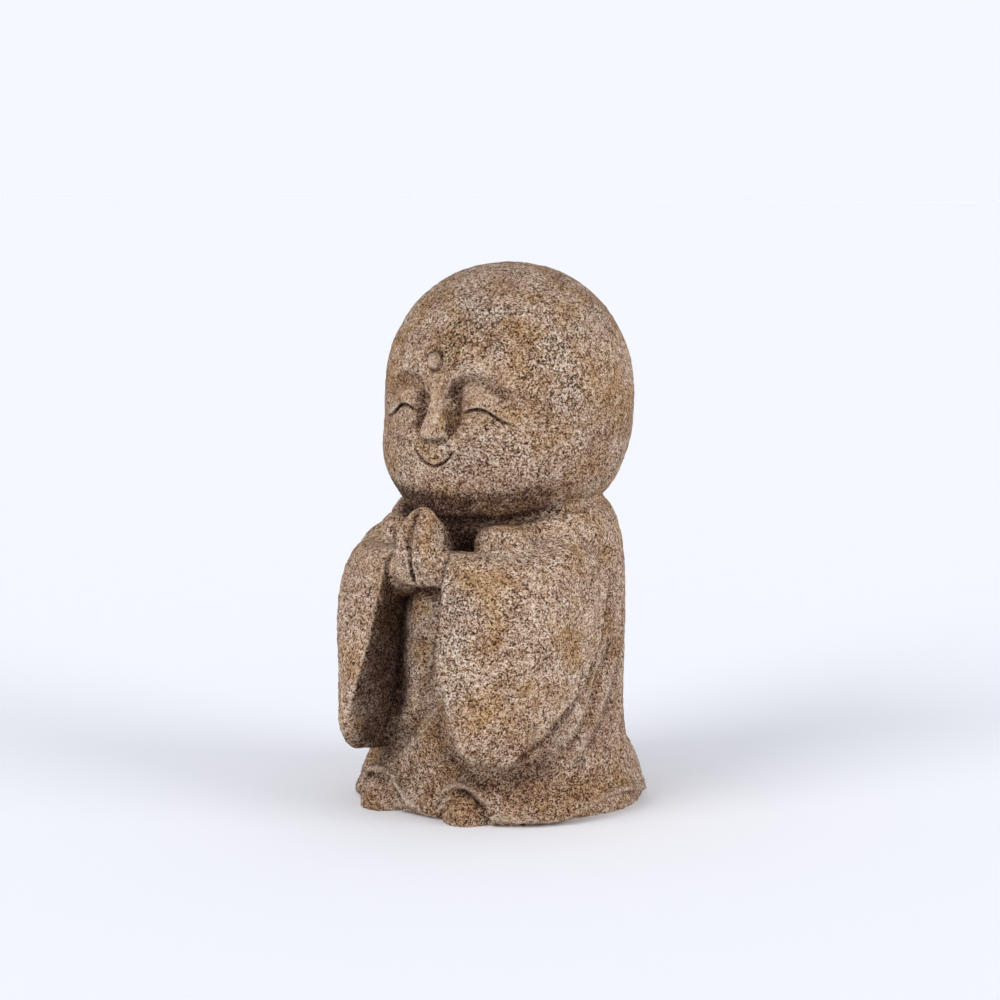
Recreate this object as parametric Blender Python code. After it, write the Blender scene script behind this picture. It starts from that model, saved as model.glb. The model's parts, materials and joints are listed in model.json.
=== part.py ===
"""Praying jizo, a garden statue cast in one piece of stone mix.

One solid: a big round head with a sleeping child's face, hands pressed
together under the chin, wide hanging sleeves, and a long robe whose flared
hem lifts over two toes. The statue stands on its flat underside.

Frame: +Z up, the face looks along -Y, the statue's left hand is at +X.
The origin is the middle of the bounding box on the ground.
Dimensions in this file are millimetres until MM turns them to metres.
"""

import math

import bmesh
import bpy
import numpy as np

MM = 0.001
NODE = "statue"

# Overall size
HEIGHT = 300.0            # ground to the top of the head
GROUND_CUT = 0.6          # slice taken off the underside to make it flat

# Working grain of the carving and the finished face count
VOXEL = 1.2
TARGET_TRIANGLES = 9400
DETAIL_GROUP, DETAIL_FACTOR = "detail", 0.003
RING = 96                 # points round a turned or lofted section

# Head: (height, y of the section centre, half width, depth in front, depth behind)
HEAD_SECTIONS = (
    (156.0, 4.0, 34.0, 34.0, 34.0), (162.0, 4.0, 42.0, 43.0, 42.0),
    (166.0, 3.8, 47.5, 48.6, 47.0), (170.0, 3.6, 53.0, 53.0, 52.0),
    (174.2, 3.4, 57.6, 56.6, 56.4), (181.0, 2.8, 62.3, 60.2, 61.4),
    (187.7, 2.8, 65.2, 62.0, 64.7), (194.4, 3.9, 67.2, 63.6, 67.0),
    (201.0, 5.6, 68.3, 65.2, 68.2), (207.7, 7.6, 68.6, 66.4, 68.7),
    (216.0, 8.8, 68.7, 66.6, 68.8), (228.0, 9.0, 69.0, 66.0, 69.0),
    (236.0, 8.9, 68.6, 65.4, 68.7), (244.0, 8.9, 67.4, 64.8, 67.6),
    (252.0, 9.0, 65.3, 63.4, 65.6), (260.0, 9.0, 62.1, 61.0, 62.4),
    (268.0, 9.0, 57.8, 57.2, 58.0), (276.0, 9.0, 52.2, 52.2, 52.4),
    (283.0, 9.0, 45.6, 45.6, 45.8), (289.0, 9.0, 38.0, 38.0, 38.0),
    (294.0, 9.0, 29.2, 29.2, 29.2), (297.4, 9.0, 20.0, 20.0, 20.0),
    (299.4, 9.0, 10.0, 10.0, 10.0),
)
HEAD_POWER = 2.14         # squareness of the cheeks
HEAD_TOP_Y = 9.0

# Robe: (height, y of the section centre, half width, depth in front, depth behind)
ROBE_SECTIONS = (
    (26.0, 6.0, 63.0, 60.0, 62.0), (36.0, 6.0, 67.6, 65.0, 66.3), (46.0, 6.0, 66.6, 64.0, 65.5),
    (60.0, 6.0, 66.4, 62.5, 64.6), (80.0, 6.0, 67.0, 61.0, 64.0), (107.0, 6.0, 68.0, 59.5, 63.2),
    (125.0, 6.0, 68.0, 57.0, 62.4), (136.0, 5.4, 68.4, 51.5, 61.0), (146.0, 4.6, 68.4, 46.0, 59.0),
    (155.0, 3.6, 67.6, 46.5, 56.6), (161.0, 3.0, 66.2, 46.5, 55.0), (166.0, 3.0, 63.2, 43.0, 53.0),
    (170.0, 3.4, 58.8, 38.0, 52.0), (173.5, 3.6, 53.0, 34.0, 50.0),
)
ROBE_Y = 6.0
ROBE_FRONT_POWER = 2.4    # squareness of the robe's front, 2 is an ellipse
# Hem edge round the robe: (degrees from the front, radius, height of the
# edge's underside, set-back of the base band under it)
HEM_EDGE = (
    (-180.0, 77.0, 5.0, 5.0), (-160.0, 77.0, 7.0, 5.0), (-140.0, 77.0, 2.5, 5.0),
    (-120.0, 77.5, 3.0, 5.0), (-100.0, 79.0, 7.0, 5.0), (-84.0, 82.0, 3.0, 4.4),
    (-68.0, 84.8, 1.4, 3.6), (-53.0, 85.6, 1.0, 3.4), (-41.0, 81.6, 1.2, 4.4),
    (-29.0, 76.5, 1.4, 6.0), (-15.0, 72.8, 1.4, 5.0), (-6.0, 71.2, 1.4, 5.0),
    (4.0, 71.6, 1.6, 5.0), (18.0, 73.6, 1.8, 5.0), (37.0, 75.0, 1.4, 4.0),
    (50.0, 75.4, 1.4, 5.0), (61.0, 75.6, 2.0, 7.0), (70.0, 76.0, 5.2, 9.0),
    (80.0, 76.6, 9.4, 8.0), (92.0, 77.4, 10.6, 5.0), (108.0, 78.2, 6.6, 3.0),
    (127.0, 78.8, 3.0, 2.6), (150.0, 78.0, 2.0, 4.0), (165.0, 77.2, 3.0, 5.0),
    (180.0, 77.0, 5.0, 5.0),
)
# Flare of the skirt: (height above the edge's underside, set-back from the edge)
HEM_FLARE = ((0.0, 0.9), (1.5, 0.1), (3.0, 0.0), (6.0, 1.2), (9.0, 3.0), (13.0, 4.9), (18.0, 6.8))
HEM_POINTS = 288          # points round the hem, fine enough for its arches
HEM_TOP = 36.0            # where the skirt joins the robe
BAND_TOP = 30.0

# Toes: (x, y) of each, and the half sizes of the rounded tip
TOES = ((-36.0, -55.8), (19.6, -54.8))
TOE_HALF = (13.4, 13.2, 14.6)
TOE_Z = 4.2
ARCH_HALF, ARCH_RISE = 15.5, 18.0   # hem arch over a toe: half width and rise

# Hanging sleeve, statue's left: height, x and y of the front edge, x and y of
# the widest point, depth behind it, x and y of the opening's inner line, power
SLEEVE_SECTIONS = (
    (33.6, 40.0, -63.0, 47.0, -57.0, 8.0, 37.0, -52.0, 2.0),
    (38.0, 40.5, -72.0, 57.0, -53.0, 15.0, 36.0, -48.0, 1.80),
    (42.0, 41.0, -77.5, 61.0, -49.0, 22.0, 34.5, -46.0, 1.68),
    (46.5, 40.0, -82.0, 63.0, -45.0, 28.0, 33.5, -46.0, 1.58),
    (58.0, 36.3, -87.6, 67.5, -36.0, 30.0, 31.5, -46.0, 1.60),
    (70.5, 31.7, -89.0, 70.0, -29.0, 30.0, 30.5, -46.0, 1.72),
    (83.0, 27.8, -88.0, 72.5, -24.0, 30.0, 30.0, -46.0, 1.88),
    (97.0, 24.8, -85.6, 74.0, -20.0, 32.0, 29.5, -45.0, 2.16),
    (111.0, 22.9, -82.5, 74.5, -17.0, 34.0, 29.0, -44.0, 2.4),
    (124.0, 21.4, -79.6, 74.0, -15.0, 34.0, 27.5, -43.0, 2.5),
    (134.0, 20.3, -77.4, 73.0, -14.0, 34.0, 26.0, -44.0, 2.4),
    (140.0, 19.8, -76.0, 71.5, -13.0, 32.0, 25.0, -48.0, 2.25),
    (144.5, 20.6, -74.0, 69.5, -12.5, 28.0, 25.5, -52.0, 2.1),
    (148.0, 23.0, -70.5, 63.0, -13.0, 22.0, 27.0, -56.0, 2.0),
    (149.8, 26.0, -66.5, 56.0, -15.0, 18.0, 30.0, -58.0, 2.0),
)

# Arm inside the sleeve: (x, y, z, radius) from the shoulder to the wrist
ARM_PATH = (
    (44.0, 2.0, 145.0, 20.5), (49.5, -12.0, 141.0, 21.0), (54.5, -26.0, 135.5, 20.5),
    (52.5, -38.0, 131.0, 18.8), (42.0, -49.0, 133.0, 16.8), (27.0, -59.0, 135.5, 14.2),
    (13.5, -66.0, 139.5, 10.5),
)

# Pressed hand, statue's left: (height, front y, back y, thickness)
HAND_SECTIONS = (
    (130.0, -74.0, -54.0, 6.4), (132.5, -77.6, -51.4, 8.6), (136.0, -80.4, -50.0, 9.8),
    (142.0, -82.6, -49.6, 10.2), (149.0, -83.0, -51.0, 10.1), (155.0, -81.6, -53.6, 9.6),
    (161.0, -78.8, -56.8, 8.8), (166.0, -75.4, -60.2, 7.4), (169.6, -72.0, -63.6, 5.4),
    (171.4, -69.6, -66.4, 2.8),
)
PALM_GAP = 0.6            # half the distance between the two palms' middles

# Face. Angles are degrees round the head from the middle of the face
EYE_LINE = ((8.0, 222.0), (12.0, 222.1), (15.0, 222.4), (18.5, 224.0), (22.5, 224.9),
            (26.5, 223.8), (30.5, 220.8), (34.5, 218.3), (39.0, 216.8), (46.0, 215.6))
BROW_LINE = ((6.0, 233.0), (8.0, 238.6), (11.5, 241.7), (17.5, 243.5), (24.0, 243.0),
             (30.5, 240.0), (36.0, 235.0), (41.0, 228.0), (46.0, 219.0))
SOCKET_DEPTH = ((4.0, 1.5), (7.0, 5.2), (11.0, 5.6), (16.0, 4.7), (24.0, 3.6), (31.0, 2.6),
                (37.0, 1.3), (43.0, 0.3), (46.0, 0.0))
SOCKET_OUTER = ((0.0, 0.62), (0.18, 0.30), (0.38, 0.42), (0.62, 0.92), (0.76, 1.0),
                (0.90, 0.55), (1.0, 0.08), (1.12, -0.06), (1.3, 0.0))
SOCKET_INNER = ((0.0, 1.0), (0.2, 0.95), (0.45, 1.0), (0.7, 0.9), (0.88, 0.45), (1.0, 0.05),
                (1.3, 0.0))
MOUTH_LINE = ((-10.4, 200.8), (-8.0, 197.2), (-4.6, 194.2), (0.0, 192.9),
              (4.6, 194.2), (8.0, 197.2), (10.4, 200.8))
NOSE = ((206.6, 6.6, 0.0), (208.2, 7.4, 2.8), (210.5, 7.7, 4.6), (214.5, 7.4, 5.2),
        (219.0, 6.0, 4.3), (224.0, 4.9, 3.1), (229.0, 4.4, 1.9), (234.0, 4.5, 0.8),
        (239.0, 5.0, 0.0))        # height, half width, rise
URNA = (249.0, 4.2, 5.6, 2.4)     # height, half width, half height, rise


def pchip(xs, ys, x):
    """Monotone cubic through the stations, so that a profile never overshoots."""
    xs, ys, x = (np.asarray(v, float) for v in (xs, ys, x))
    h, delta = np.diff(xs), np.diff(ys) / np.diff(xs)
    slope = np.zeros_like(ys)
    same = delta[:-1] * delta[1:] > 0
    w1, w2 = 2 * h[1:] + h[:-1], h[1:] + 2 * h[:-1]
    inner = np.zeros_like(delta[1:])
    inner[same] = (w1 + w2)[same] / (w1[same] / delta[:-1][same] + w2[same] / delta[1:][same])
    slope[1:-1] = inner
    slope[0], slope[-1] = delta[0], delta[-1]
    k = np.clip(np.searchsorted(xs, x) - 1, 0, len(xs) - 2)
    t = (x - xs[k]) / h[k]
    a = (1 + 2 * t) * (1 - t) ** 2
    b = t * (1 - t) ** 2
    c = t * t * (3 - 2 * t)
    d = t * t * (t - 1)
    return a * ys[k] + b * h[k] * slope[k] + c * ys[k + 1] + d * h[k] * slope[k + 1]


def station(table, z):
    """Every column of a section table at height z."""
    zs = [row[0] for row in table]
    return [float(pchip(zs, [row[c] for row in table], np.clip(z, zs[0], zs[-1])))
            for c in range(1, len(table[0]))]


def loft(bm, rings, closed_path=False):
    """Skin a list of equal rings, closing both ends with a fan."""
    rows = [[bm.verts.new(p) for p in ring] for ring in rings]
    n = len(rows[0])
    for low, high in zip(rows, rows[1:]):
        for i in range(n):
            j = (i + 1) % n
            bm.faces.new((low[i], low[j], high[j], high[i]))
    for row, flip in ((rows[0], True), (rows[-1], False)):
        middle = bm.verts.new(np.mean([v.co[:] for v in row], axis=0))
        for i in range(n):
            j = (i + 1) % n
            bm.faces.new((row[j], row[i], middle) if flip else (row[i], row[j], middle))


def oval(half_x, front, back, power_front=2.0, power_back=2.0, count=RING):
    """Plan section about its own centre, counter-clockwise from the front."""
    points = []
    for i in range(count):
        phi = 2 * math.pi * i / count
        s, c = math.sin(phi), math.cos(phi)
        depth, power = (front, power_front) if c > 0 else (back, power_back)
        r = (abs(s / half_x) ** power + abs(c / depth) ** power) ** (-1 / power)
        points.append((r * s, -r * c))
    return points


def hem_lift(phi):
    """Height of the hem edge's underside, lifted into an arch over each toe."""
    lift = station(HEM_EDGE, phi)[1]
    for x, y in TOES:
        toe_phi = math.degrees(math.atan2(x, ROBE_Y - y))
        along = math.radians(phi - toe_phi) * 74.0 / ARCH_HALF
        if abs(along) < 1.0:
            lift = max(lift, 2.0 + ARCH_RISE * (1.0 - along ** 2) ** 0.6)
    return lift


def add_head(bm):
    """Stacked round sections, slightly forward at the cheeks."""
    rings = []
    for z in np.linspace(HEAD_SECTIONS[0][0], HEAD_SECTIONS[-1][0], 72):
        y, a, front, back = station(HEAD_SECTIONS, z)
        rings.append([(px, py + y, z) for px, py in oval(a, front, back, HEAD_POWER)])
    loft(bm, rings)
    top = rings[-1]
    crown = [(0.3 * p[0], HEAD_TOP_Y + 0.3 * (p[1] - HEAD_TOP_Y), HEIGHT) for p in top]
    loft(bm, [top, crown])


def add_robe(bm):
    """Body of the robe from the collar to the start of the hem."""
    rings = []
    for z in np.linspace(ROBE_SECTIONS[0][0], ROBE_SECTIONS[-1][0], 60):
        cy, a, front, back = station(ROBE_SECTIONS, z)
        rings.append([(x, y + cy, z) for x, y in oval(a, front, back, ROBE_FRONT_POWER)])
    loft(bm, rings)


def add_hem(bm):
    """Flared skirt whose edge rises and falls, over a plain base band."""
    _, half, front, back = station(ROBE_SECTIONS, HEM_TOP)
    joint = oval(half, front, back, ROBE_FRONT_POWER, 2.0, HEM_POINTS)
    skirt, band = [], []
    for i in range(HEM_POINTS):
        turn = 360.0 * i / HEM_POINTS
        phi = turn - 360.0 if turn > 180.0 else turn
        s, c = math.sin(math.radians(phi)), -math.cos(math.radians(phi))
        edge, _, set_back = station(HEM_EDGE, phi)
        lift, column = hem_lift(phi), []
        for row in np.linspace(0.0, 1.0, 22):
            height = row * (HEM_TOP - 6.0)
            r = edge - station(HEM_FLARE, height)[0]
            blend = max(0.0, (height - 12.0) / (HEM_TOP - 18.0))
            blend = blend * blend * (3.0 - 2.0 * blend)
            x, y = r * s * (1 - blend) + joint[i][0] * blend, r * c * (1 - blend) + joint[i][1] * blend
            column.append((x, ROBE_Y + y, lift + row * (HEM_TOP - lift)))
        r = edge - set_back - 3.0
        skirt.append([(r * s, ROBE_Y + r * c, lift + 1.2)] + column)
        r = edge - set_back
        band.append([(r * s * k, ROBE_Y + r * c * k, z) for k, z in
                     ((1.0, 0.0), (1.0, BAND_TOP * 0.5), (0.92, BAND_TOP))])
    for part in (skirt, band):
        loft(bm, [[column[row] for column in part] for row in range(len(part[0]))])


def sleeve_ring(z, side):
    """One plan section of a hanging sleeve, with its flat opening face."""
    edge_x, edge_y, wide_x, wide_y, back, open_x, open_y, power = station(SLEEVE_SECTIONS, z)
    cx = edge_x + 3.0
    a, front = wide_x - cx, wide_y - edge_y
    points = []
    for t in np.linspace(90.0, 0.0, 36):
        s, c = math.sin(math.radians(t)), math.cos(math.radians(t))
        points.append((cx + a * c ** (2 / power), wide_y - (front + 0.6) * s ** (2 / power)))
    for t in np.linspace(0.0, 90.0, 14)[1:]:
        s, c = math.sin(math.radians(t)), math.cos(math.radians(t))
        points.append((cx + a * c, wide_y + back * s))
    rear = points[-1]
    inner = (open_x, open_y)
    for k in np.linspace(0.0, 1.0, 8)[1:]:
        points.append((rear[0] + (inner[0] - rear[0]) * k, rear[1] + (inner[1] - rear[1]) * k))
    lip = (edge_x - 1.6, edge_y + 3.4)
    for k in np.linspace(0.0, 1.0, 11)[1:]:
        points.append((inner[0] + (lip[0] - inner[0]) * k, inner[1] + (lip[1] - inner[1]) * k))
    points.append((edge_x - 0.7, edge_y + 0.8))
    ring = [(side * x, y, z) for x, y in points]
    return ring if side > 0 else ring[::-1]


def add_sleeves(bm):
    """Both wide sleeves, mirrored."""
    low, high = SLEEVE_SECTIONS[0][0], SLEEVE_SECTIONS[-1][0]
    for side in (1, -1):
        loft(bm, [sleeve_ring(z, side) for z in np.linspace(low, high, 46)])


def add_arms(bm):
    """Shoulder, elbow and forearm as one tapering tube of round sections."""
    for side in (1, -1):
        path = np.array(ARM_PATH)
        t = np.linspace(0, len(path) - 1, 28)
        x, y, z, r = (np.interp(t, range(len(path)), path[:, k]) for k in range(4))
        for k in range(len(t)):
            matrix_points = bmesh.ops.create_icosphere(bm, subdivisions=3, radius=r[k])["verts"]
            bmesh.ops.translate(bm, verts=matrix_points, vec=(side * x[k], y[k], z[k]))


def add_hands(bm):
    """Two flat hands pressed together, fingertips under the chin."""
    zs = np.linspace(HAND_SECTIONS[0][0], HAND_SECTIONS[-1][0], 30)
    for side in (1, -1):
        rings = []
        for z in zs:
            front, back, thick = station(HAND_SECTIONS, z)
            half, middle = (back - front) / 2, (back + front) / 2
            ring = []
            for i in range(40):
                t = 2 * math.pi * i / 40
                x = thick / 2 * math.copysign(abs(math.sin(t)) ** 0.8, math.sin(t))
                y = half * math.copysign(abs(math.cos(t)) ** 0.9, math.cos(t))
                ring.append((side * (thick / 2 - PALM_GAP + x), middle - y, z))
            rings.append(ring if side > 0 else ring[::-1])
        loft(bm, rings)


def add_toes(bm):
    """Rounded tips of the feet under the raised hem."""
    for x, y in TOES:
        ball = bmesh.ops.create_uvsphere(bm, u_segments=32, v_segments=20, radius=1.0)["verts"]
        bmesh.ops.scale(bm, verts=ball, vec=TOE_HALF)
        bmesh.ops.translate(bm, verts=ball, vec=(x, y, TOE_Z))
        heel = bmesh.ops.create_uvsphere(bm, u_segments=32, v_segments=20, radius=1.0)["verts"]
        bmesh.ops.scale(bm, verts=heel, vec=(TOE_HALF[0], TOE_HALF[1] * 1.4, TOE_HALF[2] * 1.1))
        bmesh.ops.translate(bm, verts=heel, vec=(x * 0.95, y + 16.0, TOE_Z + 1.0))


def on_head(phi, z, rise=0.0):
    """Point of the head's surface at an angle from the face's middle."""
    y, a, front, _ = station(HEAD_SECTIONS, z)
    s, c = math.sin(math.radians(phi)), math.cos(math.radians(phi))
    r = (abs(s / a) ** HEAD_POWER + abs(c / front) ** HEAD_POWER) ** (-1 / HEAD_POWER) + rise
    return (r * s, y - r * c, z)


def curve_points(points, step=0.8):
    """Smooth chain of points through the given ones."""
    points = np.asarray(points, float)
    length = np.concatenate([[0], np.cumsum(np.linalg.norm(np.diff(points, axis=0), axis=1))])
    t = np.linspace(0, length[-1], max(3, int(length[-1] / step)))
    return np.stack([pchip(length, points[:, k], t) for k in range(points.shape[1])], axis=1)


class Carving:
    """Vertices and normals of the blocked-out figure, worked with soft strokes."""

    def __init__(self, mesh):
        self.mesh = mesh
        n = len(mesh.vertices)
        co = np.empty(n * 3)
        mesh.vertices.foreach_get("co", co)
        self.co = co.reshape(n, 3) / MM
        edges = np.empty(len(mesh.edges) * 2, int)
        mesh.edges.foreach_get("vertices", edges)
        self.edges = edges.reshape(-1, 2)
        self.degree = np.bincount(self.edges.ravel(), minlength=n)[:, None]
        self.refresh()

    def refresh(self):
        """Write the points back and read the normals again."""
        self.mesh.vertices.foreach_set("co", (self.co * MM).ravel())
        self.mesh.update()
        normals = np.empty(len(self.co) * 3)
        self.mesh.vertices.foreach_get("normal", normals)
        self.normal = normals.reshape(-1, 3)

    def smooth(self, rounds, weight=None):
        """Relax the surface, shrinking and growing in turn to keep its size."""
        a, b = self.edges.T
        for k in range(rounds * 2):
            total = np.zeros_like(self.co)
            for axis in range(3):
                total[:, axis] = np.bincount(a, self.co[b, axis], len(self.co))
                total[:, axis] += np.bincount(b, self.co[a, axis], len(self.co))
            move = (total / self.degree - self.co) * (0.6 if k % 2 == 0 else -0.61)
            self.co += move if weight is None else move * weight[:, None]
        self.refresh()

    def distance(self, chain):
        """Distance of every point to the chain and the nearest link's place."""
        best = np.full(len(self.co), np.inf)
        where = np.zeros(len(self.co))
        low, high = chain.min(0) - 30, chain.max(0) + 30
        near = np.where(((self.co > low) & (self.co < high)).all(1))[0]
        co = self.co[near]
        d_best, w_best = np.full(len(near), np.inf), np.zeros(len(near))
        for k in range(len(chain) - 1):
            p, q = chain[k], chain[k + 1]
            v = q - p
            t = np.clip((co - p) @ v / (v @ v), 0, 1)
            d = np.linalg.norm(co - p - t[:, None] * v, axis=1)
            closer = d < d_best
            d_best[closer], w_best[closer] = d[closer], (k + t[closer]) / (len(chain) - 1)
        best[near], where[near] = d_best, w_best
        return best, where

    def stroke(self, points, width, depth, taper=0.15):
        """Push a soft groove (depth > 0) or raise a ridge along the points."""
        d, s = self.distance(curve_points(points))
        end = np.clip(np.minimum(s, 1 - s) / taper, 0, 1) if taper else 1.0
        push = depth * np.exp(-(d / width) ** 2) * (end * end * (3 - 2 * end) if taper else 1.0)
        self.co -= self.normal * push[:, None]
        self.refresh()

    def dab(self, centre, size, depth):
        """Push a soft hollow (depth > 0) of the given half sizes, or raise it."""
        q = (self.co - np.asarray(centre)) / np.asarray(size)
        self.co -= self.normal * (depth * np.exp(-(q ** 2).sum(1)))[:, None]
        self.refresh()


def carve_face(work):
    """Brow hollows, lids, cheeks, nose, smile and the mark on the forehead."""
    x, y, z = work.co.T
    centre = pchip([r[0] for r in HEAD_SECTIONS], [r[1] for r in HEAD_SECTIONS], np.clip(z, 158, 299))
    face = (z > 186) & (z < 262) & (y < centre)
    phi = np.degrees(np.arctan2(np.abs(x), centre - y))

    def along(table, at, column=1):
        keys = [row[0] for row in table]
        return pchip(keys, [row[column] for row in table], np.clip(at, keys[0], keys[-1]))

    lid, brow = along(EYE_LINE, phi), along(BROW_LINE, phi)
    height = (z - lid) / np.maximum(brow - lid, 4.0)
    outer, inner = along(SOCKET_OUTER, height), along(SOCKET_INNER, height)
    corner = np.clip((15.0 - phi) / 5.0, 0.0, 1.0)
    shape = outer + (inner - outer) * corner
    below = np.clip((lid - z) / (9.0 + 5.0 * corner), 0.0, 1.0)
    cheek_step = np.clip((0.62 - 0.35 * (1 - corner)) + 0.38 * corner, 0.0, 1.0)
    fade = (1.0 - below) ** 2 * (1.0 + 2.0 * below)
    shape = np.where(z < lid, cheek_step * fade, shape)
    depth = along(SOCKET_DEPTH, phi) * (phi < 46.0)
    sink = np.where(face & (height < 1.3), depth * shape, 0.0)
    out = np.stack([x, y - centre, np.zeros_like(x)], axis=1)
    out /= np.maximum(np.linalg.norm(out, axis=1), 1.0)[:, None]
    work.co -= out * sink[:, None]

    across = np.clip(np.abs(x) / along(NOSE, z), 0.0, 1.0)
    rise = along(NOSE, z - 2.4 * across ** 2 * np.clip((216.0 - z) / 6.0, 0.0, 1.0), 2)
    nose = rise * (1.0 - across ** 2.4) ** 0.75
    work.co[:, 1] -= np.where(face & (z > NOSE[0][0]) & (z < NOSE[-1][0]), nose, 0.0)

    z0, half_x, half_z, rise = URNA
    q = np.sqrt((x / half_x) ** 2 + ((z - z0) / half_z) ** 2)
    bead = np.sqrt(np.clip(1.0 - q ** 2, 0.0, 1.0)) * rise - 0.5 * np.exp(-((q - 1.15) / 0.2) ** 2)
    work.co[:, 1] -= np.where(face & (q < 2.0), bead, 0.0)
    work.refresh()
    hollow = np.clip((np.abs(x) - 5.0) / 3.0, 0, 1) * np.clip((24.0 - np.abs(x)) / 8.0, 0, 1)
    work.smooth(5, np.where(face & (z > 208) & (z < 243), hollow, 0.0))
    for side in (1, -1):
        work.dab(on_head(side * 28.0, 205.0), (14.0, 14.0, 10.0), -1.0)
        work.stroke([on_head(side * p, z + 0.2, -1.8) for p, z in EYE_LINE[1:-1]], 1.4, 1.0, taper=0.2)
    work.dab(on_head(0.0, 200.0), (10.0, 9.0, 5.0), -0.7)
    work.stroke([on_head(p, z, 0.4) for p, z in MOUTH_LINE], 1.3, 1.1, taper=0.1)


def carve_robe(work):
    """Long folds of the robe, the sleeves' seams and the collar."""
    for side in (1, -1):
        work.dab((side * 14.0, -44.0, 146.0), (8.0, 8.0, 9.0), 5.0)
        rear = ((side * 62.0, 3.0, 166.0), (side * 70.0, 2.0, 145.0), (side * 73.0, -1.0, 120.0),
                (side * 73.0, -10.0, 95.0), (side * 71.0, -24.0, 76.0), (side * 66.0, -42.0, 59.0),
                (side * 56.0, -58.0, 44.0), (side * 45.0, -66.0, 34.0))
        work.stroke(rear, 4.5, 2.4, taper=0.2)
    work.stroke([(-3.0, -54.0, 122.0), (-10.0, -55.0, 112.0), (-17.0, -54.0, 100.0)], 3.2, -2.0)
    work.stroke([(2.0, -56.0, 82.0), (0.0, -57.0, 68.0), (-14.0, -60.0, 48.0)], 4.0, 2.4)
    work.stroke([(12.0, -58.0, 60.0), (8.0, -62.0, 40.0), (-2.0, -66.0, 22.0)], 6.0, -1.8)
    for x0, x1 in ((-44.0, -50.0), (-16.0, -18.0), (14.0, 20.0), (42.0, 50.0)):
        work.stroke([(x0, 68.0 - abs(x0) * 0.35, 120.0), (0.5 * (x0 + x1), 69.0 - abs(x0) * 0.4, 80.0),
                     (x1, 70.0 - abs(x1) * 0.45, 34.0)], 9.0, 1.6, taper=0.35)


def keep_detail(obj, co):
    """Mark the face and the hands, where the thinning keeps smaller faces."""
    x, y, z = co.T
    weight = np.ones(len(co))
    weight[(np.abs(x) < 12) & (y < -45) & (z > 128) & (z < 174)] = 0.7
    weight[(np.abs(x) < 46) & (y < -35) & (z > 188) & (z < 256)] = 0.5
    group = obj.vertex_groups.new(name=DETAIL_GROUP)
    for value in np.unique(weight):
        group.add([int(i) for i in np.where(weight == value)[0]], float(value), "REPLACE")


def evaluated(obj):
    """Mesh of the object with its modifiers, as the viewport shows it."""
    graph = bpy.context.evaluated_depsgraph_get()
    return bpy.data.meshes.new_from_object(obj.evaluated_get(graph))


def swap_mesh(obj, mesh):
    """Give the object a new mesh and drop its modifiers and the old mesh."""
    old = obj.data
    obj.modifiers.clear()
    obj.data = mesh
    bpy.data.meshes.remove(old)


def flat_underside(mesh):
    """Slice the underside flat, put it on z = 0 and centre the figure on it."""
    bm = bmesh.new()
    bm.from_mesh(mesh)
    geometry = bm.verts[:] + bm.edges[:] + bm.faces[:]
    cut = bmesh.ops.bisect_plane(bm, geom=geometry, dist=1e-7, plane_co=(0, 0, GROUND_CUT * MM),
                                 plane_no=(0, 0, 1), clear_inner=True)
    rim = [e for e in cut["geom_cut"] if isinstance(e, bmesh.types.BMEdge)]
    bmesh.ops.holes_fill(bm, edges=rim, sides=0)
    bmesh.ops.triangulate(bm, faces=bm.faces[:])
    bmesh.ops.dissolve_degenerate(bm, dist=2e-5, edges=bm.edges[:])
    bmesh.ops.triangulate(bm, faces=bm.faces[:])
    bmesh.ops.recalc_face_normals(bm, faces=bm.faces[:])
    co = np.array([v.co[:] for v in bm.verts])
    low, high = co.min(0), co.max(0)
    stretch = HEIGHT * MM / (high[2] - low[2])
    for v in bm.verts:
        v.co = (v.co.x - (low[0] + high[0]) / 2, v.co.y - (low[1] + high[1]) / 2,
                (v.co.z - low[2]) * stretch)
    bm.to_mesh(mesh)
    bm.free()


def stone():
    """Sand-coloured cast stone."""
    material = bpy.data.materials.new("cast_stone")
    material.use_nodes = True
    shader = material.node_tree.nodes["Principled BSDF"]
    shader.inputs["Base Color"].default_value = (0.29, 0.195, 0.135, 1.0)
    shader.inputs["Roughness"].default_value = 0.9
    shader.inputs["Metallic"].default_value = 0.0
    material.diffuse_color = (0.29, 0.195, 0.135, 1.0)
    return material


def build():
    """Block out the figure, carve it and thin it to its finished faces."""
    for obj in list(bpy.data.objects):
        bpy.data.objects.remove(obj, do_unlink=True)
    bm = bmesh.new()
    for add in (add_head, add_robe, add_hem, add_sleeves, add_arms, add_hands, add_toes):
        add(bm)
    for v in bm.verts:
        v.co *= MM
    bmesh.ops.recalc_face_normals(bm, faces=bm.faces[:])
    mesh = bpy.data.meshes.new(NODE)
    bm.to_mesh(mesh)
    bm.free()
    statue = bpy.data.objects.new(NODE, mesh)
    bpy.context.scene.collection.objects.link(statue)

    remesh = statue.modifiers.new("one_body", "REMESH")
    remesh.mode = "VOXEL"
    remesh.voxel_size = VOXEL * MM
    swap_mesh(statue, evaluated(statue))

    work = Carving(statue.data)
    work.smooth(3)
    carve_face(work)
    carve_robe(work)
    work.smooth(1)

    keep_detail(statue, work.co)
    thin = statue.modifiers.new("thin", "DECIMATE")
    thin.ratio = TARGET_TRIANGLES / (2.0 * len(statue.data.polygons))
    thin.use_collapse_triangulate = True
    thin.vertex_group = DETAIL_GROUP
    thin.vertex_group_factor = DETAIL_FACTOR
    swap_mesh(statue, evaluated(statue))
    flat_underside(statue.data)
    statue.vertex_groups.clear()
    statue.data.name = NODE
    statue.data.shade_smooth()
    statue.data.materials.append(stone())


build()
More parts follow.
